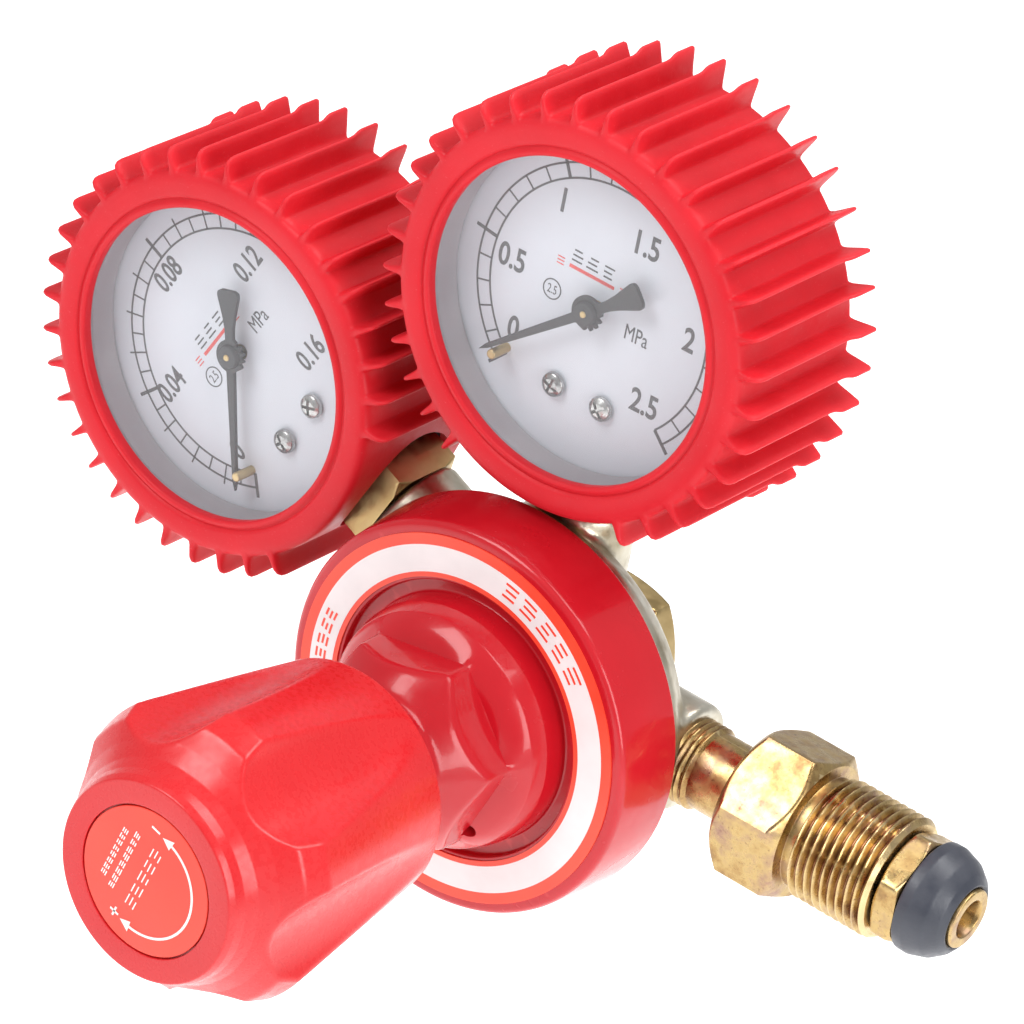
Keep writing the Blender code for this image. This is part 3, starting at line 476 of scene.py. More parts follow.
# grey paint, darkened further as painted shade for the bezel's inner wall
BEZEL_GREY_SHADED = simple_finish("bezel_grey_painted_shade", (0.27, 0.26, 0.28), (0.32, 0.31, 0.33), (0.35, 0.45), 0.0,
                      900.0, 0.00001)
CASE = simple_finish("case_dark", (0.035, 0.035, 0.04), (0.06, 0.06, 0.065), (0.30, 0.42), 0.0,
                     700.0, 0.00003)
NOSE_RUBBER = simple_finish("rubber_dark", (0.036, 0.040, 0.055), (0.052, 0.056, 0.072),
                            (0.30, 0.48), 0.0, 1600.0, 0.00003, 200.0)
SPRING = simple_finish("spring_steel", (0.26, 0.26, 0.28), (0.38, 0.38, 0.40), (0.28, 0.42), 1.0)
BRONZE = simple_finish("bronze_sintered", (0.34, 0.20, 0.09), (0.46, 0.30, 0.15), (0.6, 0.8), 1.0,
                       2600.0, 0.00010)
SLOT_FINISH = {
    "casting": CAST, "red_enamel": ENAMEL, "label": LABEL, "knob_plastic": KNOB_RED,
    "boot_rubber": RUBBER, "black_rubber": NOSE_RUBBER, "brass": BRASS, "steel": ZINC,
    "spring_steel": SPRING, "case_steel": CASE, "window": WINDOW, "dial_plate": DIAL,
    "pointer_black": POINTER, "bronze": BRONZE}


def dress_cad_nodes():
    """Give every CAD node the procedural finish of its record slot."""
    for subpart in frame["record"]["subparts"]:
        made = bpy.data.objects.get(subpart["node"])
        if made is None:
            continue
        made.data.materials.clear()
        made.data.materials.append(SLOT_FINISH[subpart["material_slot"]])


dress_cad_nodes()


# ---- bonnet, label and knob -----------------------------------------------------------------
BONNET_FLATS = (32.0, 40.0)     # across flats, angle of one flat
FLAT_START = -9.0


def bonnet_shape(angle, radius, y):
    if y < FLAT_START and radius > 8.0:
        return soft_min(radius, polygon_radius(angle, 6, *BONNET_FLATS), 0.7)
    return radius


def make_bonnet():
    outline = rounded([
        (5.3, -34.0), (13.0, -34.0, 1.2), (13.0, -20.8, 2.5), (18.4, -13.8, 1.5),
        (18.9, FLAT_START - 0.02, 0.3), (19.0, -8.0), (20.7, -5.6, 1.5), (21.5, -2.6, 1.5),
        (21.8, 2.0, 0.5), (24.3, 2.0, 0.5), (24.3, 0.3, 0.3), (34.5, 0.3, 1.6), (35.6, 13.9, 0.5),
        (34.9, 14.2), (31.7, 14.2), (31.7, 4.4), (20.0, 4.4), (20.0, 1.0), (14.0, -6.0),
        (10.6, -9.0), (10.6, -28.0), (5.3, -28.0)])
    bm = turned(dense(outline, 0.45, -22.0, FLAT_START), 240, bonnet_shape)
    made = place("bonnet_shell", bm, KNOB, ENAMEL, "regulator", "bonnet", 35.0)
    vent = math.radians(-41.0)
    out = Vector((math.cos(vent) * 0.75, -0.66, math.sin(vent) * 0.75))
    spot = axis_frame(KNOB @ (Vector((16.5 * math.cos(vent), -8.0, 16.5 * math.sin(vent))) * MM), out)
    cut(made, turned([(0, -6.0), (1.2, -6.0), (1.2, 9.0), (0, 9.0)], 32), spot)


def label_ring(name, inner, outer, front, back, finish, node=None):
    outline = [(inner, back), (inner, front), (outer, front), (outer, back)]
    place(name, turned(outline, 192), KNOB, finish, "regulator", node)


def greeked_marks(rng, count, advance, height):
    """A row of meaningless strokes in cells along +X, standing for lettering."""
    bars = []
    for i in range(count):
        left = i * advance
        for level in (0.12, 0.5, 0.88):
            start = left + advance * rng.uniform(0.02, 0.2)
            end = left + advance * rng.uniform(0.62, 0.82)
            bars.append((start, end, height * level))
    return bars


def ring_marks(name, radius, first_angle, cells, advance, height, stroke, front, back, finish):
    """Greeked strokes bent along a circle about the knob axis, reading clockwise."""
    rng = random.Random(11)
    bm = bmesh.new()
    for start, end, level in greeked_marks(rng, cells, advance, height):
        outline = []
        low = radius + level - height / 2.0
        for r, order in ((low, 1), (low + stroke, -1)):
            for k in (0, 1, 2, 3)[::order]:
                along = (start + (end - start) * k / 3.0) / radius
                turn = math.radians(first_angle) - along
                outline.append((r * math.cos(turn), r * math.sin(turn)))
        add(bm, prism(outline, front, back))
    place(name, bm, KNOB, finish, "regulator", None)


def make_label():
    label_ring("label_ring", 24.9, 32.45, 0.0, 0.28, LABEL, "bonnet_label")
    label_ring("label_band", 25.8, 30.5, -0.04, 0.02, LABEL_WHITE)
    ring_marks("label_marks_right", 28.15, 82.0, 5, 4.3, 3.0, 0.42, -0.08, -0.03, LABEL)
    ring_marks("label_marks_left", 28.15, 186.0, 4, 2.7, 2.3, 0.42, -0.08, -0.03, LABEL)


RIDGE_ANGLE = 83.0
FLUTE_AXIS = 35.1
FLUTE_RADIUS = 14.5


def knob_shape(angle, radius, y):
    """Six round flutes down the cone, with a thin bead along their edges."""
    if radius < 18.5 or y > -30.2:
        return radius
    sector = TAU / 6.0
    offset = (angle - math.radians(RIDGE_ANGLE)) % sector - sector / 2.0
    across = FLUTE_AXIS * math.sin(offset)
    if abs(across) >= FLUTE_RADIUS:
        return radius
    flute = FLUTE_AXIS * math.cos(offset) - math.sqrt(FLUTE_RADIUS ** 2 - across ** 2)
    bead = 0.12 * math.exp(-((radius - flute) / 0.70) ** 2)
    return soft_min(radius, flute, 0.8) + bead


def make_knob():
    outline = rounded([
        (12.9, -78.3, 0.2), (17.0, -78.4, 0.5), (17.6, -77.2, 0.6), (18.0, -75.6, 0.6),
        (19.0, -73.6, 1.5), (21.2, -71.0, 2.5), (24.2, -68.4, 2.5), (25.6, -64.0, 2.5),
        (20.6, -29.5, 0.4), (18.2, -29.5, 0.3), (17.6, -38.0), (16.0, -45.0), (5.25, -45.0),
        (5.25, -58.0), (9.6, -58.0), (9.6, -77.4), (12.9, -77.4)])
    bm = turned(dense(outline, 0.45, -78.0, -29.6), 384, knob_shape)
    place("knob_grip", bm, KNOB, KNOB_RED, "adjuster", "knob", 50.0)
    disc = rounded([(0.0, -78.25), (12.6, -78.2, 0.15), (12.6, -77.7), (0.0, -77.7)])
    place("knob_disc", turned(disc, 128), KNOB, DISC, "adjuster", "knob_label")
    make_knob_print()


def arc_band(radius, width, first, last, steps=48):
    """(x, z) outline of a band along a circle between two angles in degrees."""
    outline = []
    for r, order in ((radius - width / 2.0, 1), (radius + width / 2.0, -1)):
        for k in range(steps + 1)[::order]:
            turn = math.radians(first + (last - first) * k / steps)
            outline.append((r * math.cos(turn), r * math.sin(turn)))
    return outline


DISC_FRONT = -78.27
PRINT_LEAN = -16.0              # degrees the disc's print leans from the knob's own axes


def make_knob_print():
    """Double-headed turn arrow, minus and plus signs and greeked lines on the knob's disc."""
    bm = bmesh.new()
    front, back = DISC_FRONT - 0.04, DISC_FRONT + 0.03
    radius, first, last = 9.5, -99.0, 67.0
    add(bm, prism(arc_band(radius, 0.42, first, last), front, back))
    for angle, heading in ((first, -1.0), (last, 1.0)):
        turn = math.radians(angle)
        tip = math.radians(angle + heading * 12.0)
        head = [(radius * math.cos(tip), radius * math.sin(tip)),
                ((radius - 1.0) * math.cos(turn), (radius - 1.0) * math.sin(turn)),
                ((radius + 1.0) * math.cos(turn), (radius + 1.0) * math.sin(turn))]
        add(bm, prism(head, front, back))
    lean = math.radians(PRINT_LEAN)
    right = Vector((math.cos(lean), math.sin(lean)))
    up = Vector((-right.y, right.x))

    def bar(start, end, width):
        """A straight stroke given in the print's own leaning axes."""
        ends = [right * point[0] + up * point[1] for point in (start, end)]
        add(bm, prism(stroke(ends[0], ends[1], width), front, back))

    bar((-3.4, 9.6), (-1.6, 9.6), 0.36)
    bar((-3.2, -9.2), (-1.4, -9.2), 0.36)
    bar((-2.3, -10.1), (-2.3, -8.3), 0.36)
    rng = random.Random(5)
    for x, length, height in ((-7.6, 11.0, 1.1), (-5.4, 13.0, 1.1), (-1.6, 13.5, 2.2)):
        cells = 8 if height < 2.0 else 5
        for start, end, level in greeked_marks(rng, cells, length / cells, height):
            bar((x + level, length / 2.0 - start), (x + level, length / 2.0 - end), 0.2)
    place("knob_disc_print", bm, KNOB, INK_WHITE, "adjuster", None)


STEM_SHOULDER = 37.4            # end of a gauge stem's wrench square, from the gauge axis
STEM_FLATS = (4, 15.5, 0.0)     # sides, across flats, angle of one flat
GAP = 0.3                       # between a stem's shoulder and the body's arm


# ---- body casting and rear plug -------------------------------------------------------------
def make_body():
    """One cast shape: the flange and its back, with an arm for each port, fused by remeshing."""
    bm = turned(rounded([
        (0, 7.4), (31.2, 7.4), (31.2, 14.8), (33.4, 14.8, 0.6), (33.5, 17.4, 1.2),
        (31.5, 21.5, 2.0), (29.0, 24.2, 2.0), (25.5, 26.8, 2.0), (20.0, 28.6, 2.0),
        (13.2, 30.6, 2.0), (12.5, 43.0, 0.8), (0, 43.0)]), 96)
    ports = [(INLET, 32.0, 9.7), (OUTLET, 34.0, 9.3)]
    for prefix in GAUGES:
        ports.append((port_frame(prefix), gauge_distance(prefix) - STEM_SHOULDER - GAP, 9.3))
    for matrix, reach, radius in ports:
        arm = turned(rounded([(0, 8.0), (radius, 8.0), (radius, reach, 1.0), (0, reach)]), 64)
        local = KNOB.inverted() @ matrix
        local.translation = local.translation / MM
        add(bm, arm, local)
    made = place("body_casting", bm, KNOB, CAST, "regulator", "regulator_body")
    modifier(made, "REMESH", mode="VOXEL", voxel_size=0.0006)
    modifier(made, "SMOOTH", factor=0.5, iterations=5)
    apply_modifiers(made)
    made.data.shade_smooth()


def gauge_distance(prefix):
    centre = Vector(JOINTS[prefix + "pointer_turn"]["pos_m"])
    return math.hypot(centre.x - CENTRE.x, centre.z - CENTRE.z) / MM


def hexagon_piece(name, outline, matrix, flats, finish, body, node, low, high, thread=None,
                  steps=144):
    """Turned piece whose stretch between two heights is cut to a hexagon (or another polygon).

    flats is (sides, across flats, angle of one flat) and thread is (start, end, pitch, depth,
    left_hand, least radius)."""
    sides, across_flats, flat_angle = flats

    def shape(angle, radius, y):
        if low - 0.01 <= y <= high + 0.01 and radius > across_flats * 0.42:
            return soft_min(radius, polygon_radius(angle, sides, across_flats, flat_angle), 0.35)
        if thread and thread[0] <= y <= thread[1] and radius > thread[5]:
            depth = thread_depth(angle, y, thread[2], thread[0], thread[1], thread[4])
            return radius - thread[3] * depth
        return radius

    points = dense(rounded(outline), 0.5, low, high)
    if thread:
        points = dense(points, thread[2] / 10.0, thread[0], thread[1])
    return place(name, turned(points, steps, shape), matrix, finish, body, node, 35.0)


def make_rear_plug():
    hexagon_piece("rear_plug_hex", [
        (0, 37.0), (7.6, 37.0), (7.6, 44.4), (9.6, 44.4, 0.2), (10.9, 45.3), (10.9, 49.2),
        (9.4, 50.0, 0.2), (5.0, 50.0), (4.4, 49.5), (0, 49.5)],
        KNOB, (6, 19.0, 20.0), DULL_BRASS, "regulator", "rear_plug", 44.4, 50.0)


UNION_FLATS = (6, 24.6, 47.0)   # sides, across flats, angle of one flat
NOSE_FLATS = (6, 18.0, 54.0)
UNION_PITCH = 1.61
UNION_THREAD_DEPTH = 0.98


# ---- inlet and outlet -----------------------------------------------------------------------
def make_inlet():
    hexagon_piece("inlet_tube", [
        (4.7, 24.0), (6.3, 24.0), (7.6, 31.0), (7.6, 35.6, 0.3), (6.9, 36.2), (6.9, 75.5),
        (4.9, 75.5)], INLET, (6, 99.0, 0.0), BRASS, "regulator", "inlet_nipple", 0, 0,
        (30.5, 35.6, 1.2, 0.5, False, 7.0))
    hexagon_piece("union_nut_body", [
        (7.25, 45.0), (12.0, 45.0, 0.3), (14.25, 46.9, 0.3), (14.25, 56.1, 0.3),
        (12.0, 58.0, 0.4), (10.0, 58.2, 0.2), (10.0, 59.8, 0.2), (11.05, 60.3), (11.05, 74.7),
        (10.2, 75.4), (7.25, 75.4)],
        INLET, UNION_FLATS, BRASS, "union_nut", "union_nut", 45.0, 58.05,
        (59.8, 75.0, UNION_PITCH, UNION_THREAD_DEPTH, True, 10.4), 192)
    hexagon_piece("nose_hex", [
        (3.1, 65.0), (4.5, 65.0), (4.5, 75.8), (9.1, 75.8, 0.2), (10.3, 76.5), (10.3, 79.3),
        (9.3, 80.0, 0.2), (5.3, 80.1), (5.3, 89.0, 0.4), (3.5, 89.0, 0.3), (3.1, 88.2)],
        INLET, NOSE_FLATS, BRASS, "regulator", "nose_piece", 75.8, 80.05,
        (80.2, 88.0, 1.2, -0.35, False, 3.0))
    place("nose_rubber", turned(rounded([
        (5.45, 80.3), (9.8, 80.3, 0.5), (9.85, 82.4, 1.5), (8.9, 85.4, 2.0), (7.3, 87.5, 1.5),
        (5.9, 88.5, 0.4), (5.45, 88.2)]), 128), INLET, NOSE_RUBBER, "regulator", "nose_seal")


def make_outlet():
    hexagon_piece("outlet_nipple_body", [
        (2.6, 23.4), (6.0, 23.4), (6.0, 34.3), (8.6, 34.3, 0.2), (9.8, 35.2), (9.8, 39.2),
        (8.6, 40.0, 0.2), (8.0, 40.2), (8.0, 49.6), (7.2, 50.4), (2.6, 50.4)],
        OUTLET, (6, 17.0, 0.0), BRASS, "regulator", "outlet_nipple", 34.3, 40.05,
        (40.4, 43.2, 1.2, 0.5, False, 7.0))
    hexagon_piece("outlet_nut_body", [
        (8.35, 43.0), (10.3, 43.0, 0.3), (12.2, 44.5, 0.3), (12.2, 56.9, 0.3), (10.3, 58.4, 0.4),
        (5.6, 58.4), (5.6, 54.2), (8.35, 54.2)],
        OUTLET, (6, 21.0, 0.0), BRASS, "outlet_nut", "outlet_nut", 43.0, 58.45)
    outline = [(2.5, 50.8), (6.6, 50.8), (7.8, 51.6), (7.8, 53.9), (5.2, 53.9), (5.2, 60.0),
               (4.3, 61.0)]
    for i in range(4):
        base = 62.0 + 4.3 * i
        outline += [(5.0, base, 0.15), (4.2, base + 3.8, 0.15)]
    outline += [(3.6, 80.0, 0.2), (2.5, 80.0)]
    place("hose_barb_body", turned(rounded(outline), 96), OUTLET, BRASS, "regulator",
          "hose_barb")


# ---- gauges ---------------------------------------------------------------------------------
FINS = 36
SKIPPED_BELOW = 25.0             # degrees from the stem without a fin
FIN_SECTION = [(-2.9, 0.0), (-1.25, 0.0), (-0.98, 0.05), (-0.80, 0.20), (-0.68, 0.45),
               (-0.56, 0.72), (-0.42, 0.92), (-0.24, 0.985), (0.0, 1.0), (0.24, 0.985),
               (0.42, 0.92), (0.56, 0.72), (0.68, 0.45), (0.80, 0.20), (0.98, 0.05), (1.25, 0.0)]
WALL_RADIUS = 34.2
FIN_REACH = 4.9
# Each station of the boot: base height and radius, then the fin crest's height and reach.
BOOT_STATIONS = [
    (-15.4, 27.9, -15.4, 0.0), (-17.1, 27.66, -17.1, 0.0), (-17.5, 27.85, -17.5, 0.0),
    (-17.6, 28.3, -17.6, 0.0), (-17.45, 28.75, -17.45, 0.0), (-17.1, 29.0, -17.1, 0.0),
    (-17.05, 29.3, -17.05, 0.0), (-17.4, 29.6, -17.4, 0.0), (-17.6, 30.1, -17.6, 0.0),
    (-17.6, 32.0, -17.6, 0.0), (-17.55, 32.8, -17.55, 0.0), (-17.35, 33.3, -17.3, 0.0),
    (-17.1, 33.7, -17.3, 0.9), (-16.8, 33.95, -17.45, 1.7), (-16.4, 34.1, -17.4, 2.7),
    (-16.0, 34.18, -17.0, 3.4), (-15.5, 34.2, -16.2, 3.85), (-14.6, 34.2, -15.0, 4.0),
    (-9.0, 34.2, -9.0, 4.0), (-3.0, 34.2, -3.0, 4.0), (3.0, 34.2, 3.0, 4.0),
    (7.6, 34.2, 7.6, 4.0), (8.6, 34.2, 8.6, 4.15), (9.6, 34.2, 9.6, 4.65),
    (10.4, 34.2, 10.4, 4.85), (13.4, 34.2, 14.3, 4.9), (13.8, 34.15, 14.75, 4.7),
    (14.0, 33.9, 14.7, 3.6), (14.1, 33.4, 14.4, 1.6), (14.15, 32.8, 14.2, 0.3),
    (14.15, 30.2, 14.15, 0.0), (13.9, 29.7, 13.9, 0.0), (12.9, 29.5, 12.9, 0.0),
    (12.6, 29.6, 12.6, 0.0), (12.6, 31.8, 12.6, 0.0), (-15.3, 31.8, -15.3, 0.0)]


def make_boot(prefix):
    """Rubber boot: lip, stepped front ring, wall and fins as one skin."""
    bm = bmesh.new()
    tip = bm.verts.layers.float.new("tip")
    pitch = 360.0 / FINS
    rng = random.Random(len(prefix))
    columns = []
    for i in range(FINS):
        from_stem = min(i * pitch, 360.0 - i * pitch)
        strength = 0.0 if from_stem < SKIPPED_BELOW else 1.0
        lean = rng.uniform(-0.35, 0.35)
        length = rng.uniform(0.965, 1.02)
        for side, rise in FIN_SECTION:
            columns.append((i * pitch - 90.0, side, rise * strength, lean, length))
    rings = []
    for base_y, base_r, crest_y, reach in BOOT_STATIONS:
        ring = []
        for centre, side, rise, lean, length in columns:
            height = reach * rise * length
            offset = side * (1.0 - 0.30 * rise) + lean * rise * (reach / FIN_REACH) ** 2
            turn = math.radians(centre) + offset / WALL_RADIUS
            radius = base_r + height
            y = base_y + (crest_y - base_y) * rise
            vert = bm.verts.new((radius * math.cos(turn), y, radius * math.sin(turn)))
            vert[tip] = height / FIN_REACH
            ring.append(vert)
        rings.append(ring)
    count = len(columns)
    for first, second in zip(rings, rings[1:] + rings[:1]):
        for i in range(count):
            j = (i + 1) % count
            bm.faces.new((first[i], first[j], second[j], second[i]))
    made = place(prefix + "boot_skin", bm, gauge_frame(prefix), RUBBER, "regulator",
                 prefix + "boot", 60.0)
    down = axis_frame(gauge_frame(prefix).translation, gauge_frame(prefix).to_3x3() @ Vector((0, 0, -1)))
    cut(made, turned([(0, 26.0), (11.8, 26.0), (11.8, 45.0), (0, 45.0)], 96), down)
    made.data.shade_smooth()
    made.data.set_sharp_from_angle(angle=math.radians(55.0))


def make_case(prefix):
    matrix = gauge_frame(prefix)
    place(prefix + "case_can", turned(rounded([
        (30.2, -13.4), (31.4, -13.4), (31.4, 12.2, 1.2), (14.0, 12.2, 0.4), (13.0, 11.8, 0.4),
        (0, 11.8), (0, 11.2), (30.2, 11.2)]), 144), matrix, CASE, "regulator", prefix + "case")
    # the band reaches back to the dial; its dark grey is partly paint and partly painted shade on the
    # inner wall
    place(prefix + "bezel_band", turned(rounded([
        (28.4, -15.2, 0.3), (31.4, -15.2, 0.3), (31.4, -13.7), (29.9, -13.7), (29.9, -9.0),
        (28.4, -9.0)]), 144), matrix, BEZEL_GREY_SHADED, "regulator", prefix + "bezel_ring")
    place(prefix + "lens_disc", turned(rounded([
        (0, -14.9), (28.1, -14.9, 0.2), (28.1, -13.6, 0.2), (0, -13.6)]), 128), matrix, WINDOW,
        "regulator", prefix + "lens")


DIAL_FRONT = -8.6
PRINT_FRONT = DIAL_FRONT - 0.05
PRINT_BACK = DIAL_FRONT + 0.04
ZERO_ANGLE = 225.0
SWEEP = 270.0
DIAL_FACTS = {
    "inlet_gauge_": {
        "steps": 5, "parts": 5, "medium": 0, "height": 4.3, "stretch": 0.80,
        "numbers": [("0", 18.4, -145), ("0.5", 18.0, 176), ("1", 18.4, 124), ("1.5", 16.2, 64),
                    ("2", 18.4, 8), ("2.5", 17.2, -44)],
        "unit": (8.5, -9), "class": (9.2, -176), "bar": ((8.4, 144), (5.3, 63))},
    "outlet_gauge_": {
        "steps": 4, "parts": 8, "medium": 2, "height": 4.0, "stretch": 0.72,
        "numbers": [("0", 18.3, -146), ("0.04", 18.4, 159), ("0.08", 19.2, 94),
                    ("0.12", 16.4, 31.5), ("0.16", 15.6, -40)],
        "unit": (7.8, 7), "class": (8.5, 172), "bar": ((8.4, 144), (5.3, 63))}}


def polar(radius, angle):
    turn = math.radians(angle)
    return radius * math.cos(turn), radius * math.sin(turn)


def stroke(start, end, width):
    """(x, z) outline of a straight line of the given width."""
    along = Vector((end[0] - start[0], end[1] - start[1])).normalized()
    side = Vector((-along.y, along.x)) * (width / 2.0)
    return [(start[0] - side.x, start[1] - side.y), (end[0] - side.x, end[1] - side.y),
            (end[0] + side.x, end[1] + side.y), (start[0] + side.x, start[1] + side.y)]


def lettering(text, x, z, height, stretch):
    """A raised number or unit in mm, centred at (x, z), facing -Y."""
    curve = bpy.data.curves.new("lettering", "FONT")
    curve.body = text
    curve.resolution_u = 4
    curve.extrude = 0.02
    curve.offset = 0.018 if height > 3.5 else 0.0
    holder = bpy.data.objects.new("lettering", curve)
    bpy.context.scene.collection.objects.link(holder)
    graph = bpy.context.evaluated_depsgraph_get()
    mesh = bpy.data.meshes.new_from_object(holder.evaluated_get(graph))
    bm = bmesh.new()
    bm.from_mesh(mesh)
    bpy.data.objects.remove(holder, do_unlink=True)
    bpy.data.meshes.remove(mesh)
    bmesh.ops.remove_doubles(bm, verts=bm.verts, dist=1e-5)
    low = [min(v.co[i] for v in bm.verts) for i in range(3)]
    high = [max(v.co[i] for v in bm.verts) for i in range(3)]
    digits_high = high[1] - low[1]
    grow = height / digits_high
    deep = (PRINT_BACK - PRINT_FRONT) / (high[2] - low[2])
    for v in bm.verts:
        across = (v.co.x - (low[0] + high[0]) / 2.0) * grow * stretch
        up = (v.co.y - (low[1] + high[1]) / 2.0) * grow
        v.co = Vector((x + across, PRINT_BACK - (v.co.z - low[2]) * deep, z + up))
    return bm


def make_dial(prefix):
    facts = DIAL_FACTS[prefix]
    matrix = gauge_frame(prefix)
    place(prefix + "dial_plate", turned(rounded([
        (1.4, DIAL_FRONT), (29.6, DIAL_FRONT, 0.15), (29.6, DIAL_FRONT + 0.5), (1.4, DIAL_FRONT + 0.5)]),
        128), matrix, DIAL, "regulator", prefix + "dial")
    bm = bmesh.new()
    for radius, width in ((24.4, 0.36), (21.8, 0.36)):
        band = arc_band(radius, width, ZERO_ANGLE, ZERO_ANGLE - SWEEP, 160)
        half = len(band) // 2
        for i in range(half - 1):
            j = len(band) - 1 - i
            add(bm, prism([band[i], band[i + 1], band[j - 1], band[j]], PRINT_FRONT, PRINT_BACK))
    ticks = facts["steps"] * facts["parts"]
    for i in range(ticks + 1):
        angle = ZERO_ANGLE - SWEEP * i / ticks
        within = i % facts["parts"]
        reach, width = 24.4, 0.30
        if within == 0:
            reach, width = 26.2, 0.62
        elif facts["medium"] and within % facts["medium"] == 0:
            reach = 25.6
        line = stroke(polar(21.8, angle), polar(reach, angle), width)
        add(bm, prism(line, PRINT_FRONT, PRINT_BACK))
    for text, radius, angle in facts["numbers"]:
        add(bm, lettering(text, *polar(radius, angle), facts["height"], facts["stretch"]))
    add(bm, lettering("MPa", *polar(*facts["unit"]), 2.7, 0.72))
    x, z = polar(*facts["class"])
    ring = [(x + a, z + b) for a, b in arc_band(1.75, 0.22, 0.0, 359.0, 40)]
    add(bm, prism(ring, PRINT_FRONT, PRINT_BACK))
    add(bm, lettering("2.5", x, z, 1.6, 0.72))
    start, end = (Vector(polar(*spot)) for spot in facts["bar"])
    along = (end - start).normalized()
    up = Vector((-along.y, along.x))
    rng = random.Random(3)
    for low, high, level in greeked_marks(rng, 3, 3.1, 2.4):
        first = start + along * low + up * (level + 0.9)
        last = start + along * high + up * (level + 0.9)
        add(bm, prism(stroke(first, last, 0.28), PRINT_FRONT, PRINT_BACK))
    place(prefix + "dial_print", bm, matrix, INK_GREY, "regulator", None)
    red = prism(stroke(start, end, 0.6), PRINT_FRONT, PRINT_BACK)
    for spot, push in ((start, -1.8), (end, 1.8)):
        centre = spot + along * push
        for k in range(3):
            add(red, prism(stroke(centre + up * (k - 1) * 0.6 - along * 0.7,
                                  centre + up * (k - 1) * 0.6 + along * 0.7, 0.2),
                           PRINT_FRONT, PRINT_BACK))
    place(prefix + "dial_print_red", red, matrix, INK_RED, "regulator", None)


POINTER_REST = 219.0
SCREW_PLACES = ((-4.9, -16.3), (4.9, -16.3))
STOP_PIN = (21.3, -137.0)


def make_pointer(prefix):
    """Needle, toothed hub, bell-shaped counterweight and a pressed brass centre."""
    outline = [(0.0, 24.6), (-0.42, 22.6), (-0.62, 14.0), (-0.85, 2.8)]
    for k in range(13):
        outline.append(polar(2.95, 110.0 + 140.0 * k / 12.0))
    outline += [(-0.85, -3.1), (-0.95, -5.0), (-1.35, -7.2), (-1.95, -9.4), (-2.3, -10.8),
                (-2.15, -11.5), (-1.4, -11.9), (1.4, -11.9), (2.15, -11.5), (2.3, -10.8),
                (1.95, -9.4), (1.35, -7.2), (0.95, -5.0), (0.85, -3.1)]
    for k in range(9):
        angle = -68.0 + 100.0 * k / 8.0
        outline.append(polar(3.05 if k % 2 == 0 else 2.35, angle))
        outline.append(polar(3.05 if k % 2 == 0 else 2.35, angle + 6.0))
    outline += [(0.85, 2.8), (0.62, 14.0), (0.42, 22.6)]
    outline = [(-x, z) for x, z in outline]
    turn = Matrix.Rotation(math.radians(90.0 - POINTER_REST), 4, "Y")
    matrix = gauge_frame(prefix) @ turn
    bm = prism(outline, -11.7, -10.9)
    add(bm, turned(rounded([(0, -12.5), (1.9, -12.5, 0.3), (2.2, -11.9, 0.2), (2.2, -10.9),
                            (1.4, -10.8), (1.4, -9.5), (0, -9.5)]), 48))
    made = place(prefix + "pointer_blade", bm, matrix, POINTER, prefix + "pointer",
                 prefix + "pointer", 40.0)
    modifier(made, "BEVEL", width=0.00012, segments=2, limit_method="ANGLE")
    apply_modifiers(made)
    place(prefix + "pointer_centre", turned(rounded([
        (0, -12.75), (0.55, -12.7, 0.2), (0.6, -12.3), (0, -12.3)]), 32), matrix, DULL_BRASS,
        prefix + "pointer", None)


def make_dial_screws(prefix):
    """Pan heads with a cross recess, and the stop pin."""
    matrix = gauge_frame(prefix)
    for letter, (x, z), turn in zip("ab", SCREW_PLACES, (0.35, 0.9)):
        spot = matrix @ Matrix.Translation(Vector((x, 0, z)) * MM) @ Matrix.Rotation(turn, 4, "Y")
        made = place(prefix + "screw_head_" + letter, turned(rounded([
            (0, -10.35), (1.2, -10.25, 0.5), (2.05, -9.75, 0.5), (2.25, -8.95, 0.2),
            (1.0, -8.9), (1.0, -6.0), (0, -6.0)]), 64), spot, ZINC, "regulator",
            prefix + "dial_screw_" + letter)
        for width, length in ((0.55, 2.9), (2.9, 0.55)):
            slot_cut = prism([(-width / 2, -length / 2), (width / 2, -length / 2),
                              (width / 2, length / 2), (-width / 2, length / 2)], -11.0, -9.45)
            cut(made, slot_cut, spot)
    x, z = polar(*STOP_PIN)
    spot = matrix @ Matrix.Translation(Vector((x, 0, z)) * MM)
    place(prefix + "stop_pin_post", turned(rounded([
        (0, -13.1), (0.85, -13.1, 0.35), (0.85, -8.1), (0, -8.1)]), 40), spot, DULL_BRASS,
        "regulator", prefix + "stop_pin")


def make_stem(prefix):
    """Wrench square and threaded end, turned about the stem, and the block inside the case."""
    down = gauge_frame(prefix) @ Matrix.Rotation(math.radians(-90.0), 4, "X")
    hexagon_piece(prefix + "stem_square", [
        (0, 24.0), (11.0, 24.0), (11.0, STEM_SHOULDER - 0.9), (9.2, STEM_SHOULDER, 0.3),
        (6.1, STEM_SHOULDER), (6.5, STEM_SHOULDER + 0.6), (6.5, STEM_SHOULDER + 10.2),
        (5.9, STEM_SHOULDER + 10.8), (0, STEM_SHOULDER + 10.8)],
        down, STEM_FLATS, DULL_BRASS, "regulator", prefix + "stem", 23.9,
        STEM_SHOULDER + 0.05,
        (STEM_SHOULDER + 0.4, STEM_SHOULDER + 10.0, 1.3, 0.6, False, 5.5))
    place(prefix + "stem_block", prism([(-7.0, -24.6), (7.0, -24.6), (7.0, -15.2), (-7.0, -15.2)],
          -7.2, 7.2), gauge_frame(prefix), DULL_BRASS, "regulator", None)


make_bonnet()
make_label()
make_knob()
make_body()
make_rear_plug()
make_inlet()
make_outlet()
for prefix in GAUGES:
    make_boot(prefix)
    make_case(prefix)
    make_dial(prefix)
    make_pointer(prefix)
    make_dial_screws(prefix)
    make_stem(prefix)


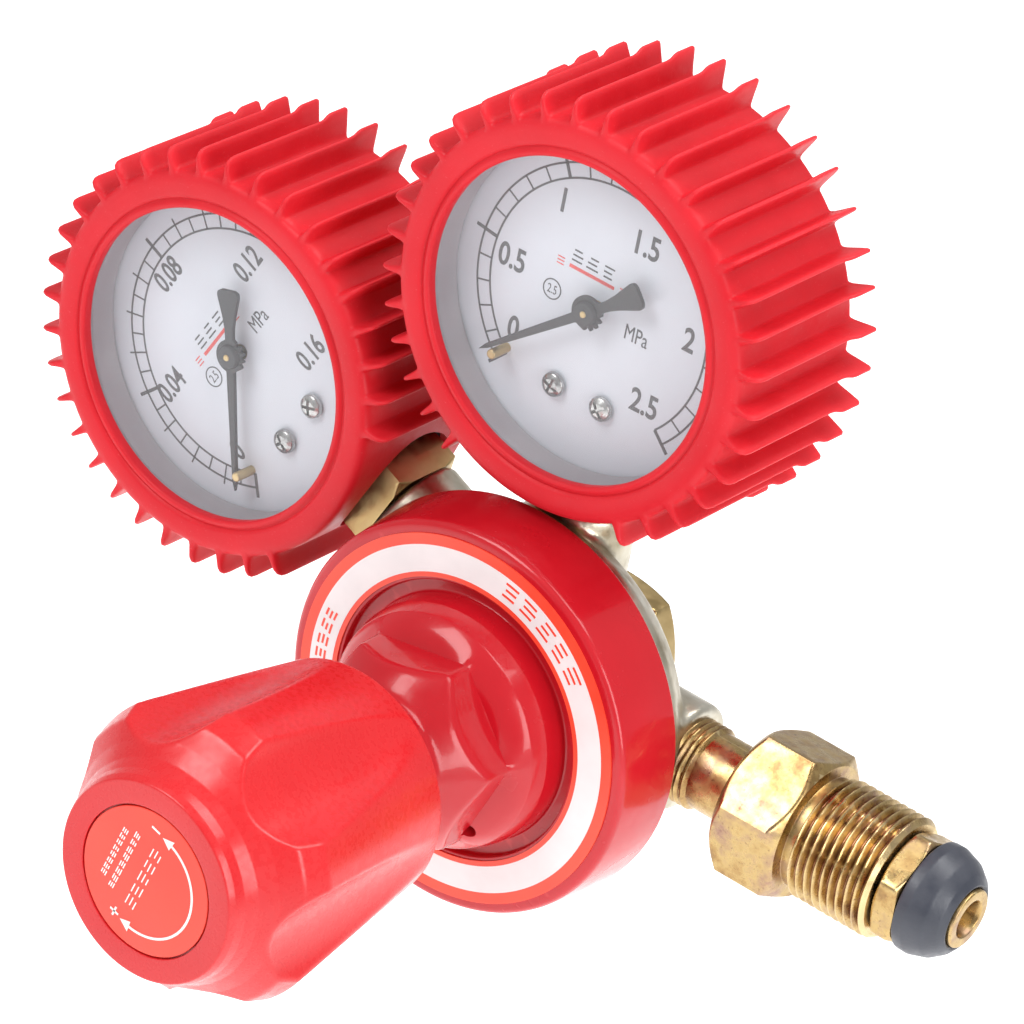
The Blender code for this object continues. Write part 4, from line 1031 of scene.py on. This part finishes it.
# ---- camera, light and floor ----------------------------------------------------------------
CAMERA_RIGHT = Vector((0.77479, 0.60399, 0.18680))
CAMERA_UP = Vector((-0.43601, 0.29653, 0.84968))
CAMERA_PLACE = Vector((0.34886, -0.72779, 0.51057))
FLOOR_DROP = 0.16


def make_camera():
    right = CAMERA_RIGHT.normalized()
    back = right.cross(CAMERA_UP).normalized()
    turn = Matrix((right, back.cross(right), back)).transposed().to_4x4()
    data = bpy.data.cameras.new("camera")
    data.lens = 206.6
    data.sensor_width = 36.0
    camera = bpy.data.objects.new("camera", data)
    camera.matrix_world = Matrix.Translation(CAMERA_PLACE) @ turn
    bpy.context.scene.collection.objects.link(camera)
    bpy.context.scene.camera = camera
    return camera


def area_light(name, place_at, target, size, power, colour=(1.0, 1.0, 1.0)):
    data = bpy.data.lights.new(name, "AREA")
    data.shape = "RECTANGLE"
    data.size, data.size_y = size
    data.energy = power
    data.color = colour
    light = bpy.data.objects.new(name, data)
    bpy.context.scene.collection.objects.link(light)
    away = Vector(place_at) - Vector(target)
    light.matrix_world = Matrix.Translation(place_at) @ away.to_track_quat("Z", "Y").to_matrix().to_4x4()


def make_stage():
    low, high = cad_box
    middle_point = (Vector(low) + Vector(high)) / 2.0
    floor = bpy.data.meshes.new("floor")
    size = 4.0
    level = low[2] - FLOOR_DROP
    floor.from_pydata([(-size, -size, level), (size, -size, level), (size, size, level),
                       (-size, size, level)], [], [(0, 1, 2, 3)])
    stage = bpy.data.objects.new("floor", floor)
    bpy.context.scene.collection.objects.link(stage)
    floor.materials.append(simple_finish("floor_pale", (0.93, 0.93, 0.93), (0.95, 0.95, 0.95),
                                         (0.85, 0.95), 0.0, 30.0, 0.00001, 3.0,
                                         Emission_Strength=0.6, Emission_Color=(1.0, 1.0, 1.0, 1.0)))
    world = bpy.data.worlds.new("studio")
    world.use_nodes = True
    world.node_tree.nodes["Background"].inputs["Color"].default_value = (1.0, 1.0, 1.0, 1.0)
    world.node_tree.nodes["Background"].inputs["Strength"].default_value = 0.50
    bpy.context.scene.world = world
    area_light("key_light", middle_point + Vector((-0.35, -0.55, 0.75)), middle_point,
               (0.5, 0.5), 5.5)
    area_light("top_light", middle_point + Vector((0.25, 0.25, 0.9)), middle_point,
               (0.7, 0.5), 6.0)
    area_light("side_light", middle_point + Vector((0.8, -0.25, 0.25)), middle_point,
               (0.3, 0.6), 3.5)


make_camera()
make_stage()
bpy.context.scene.view_settings.view_transform = "Standard"
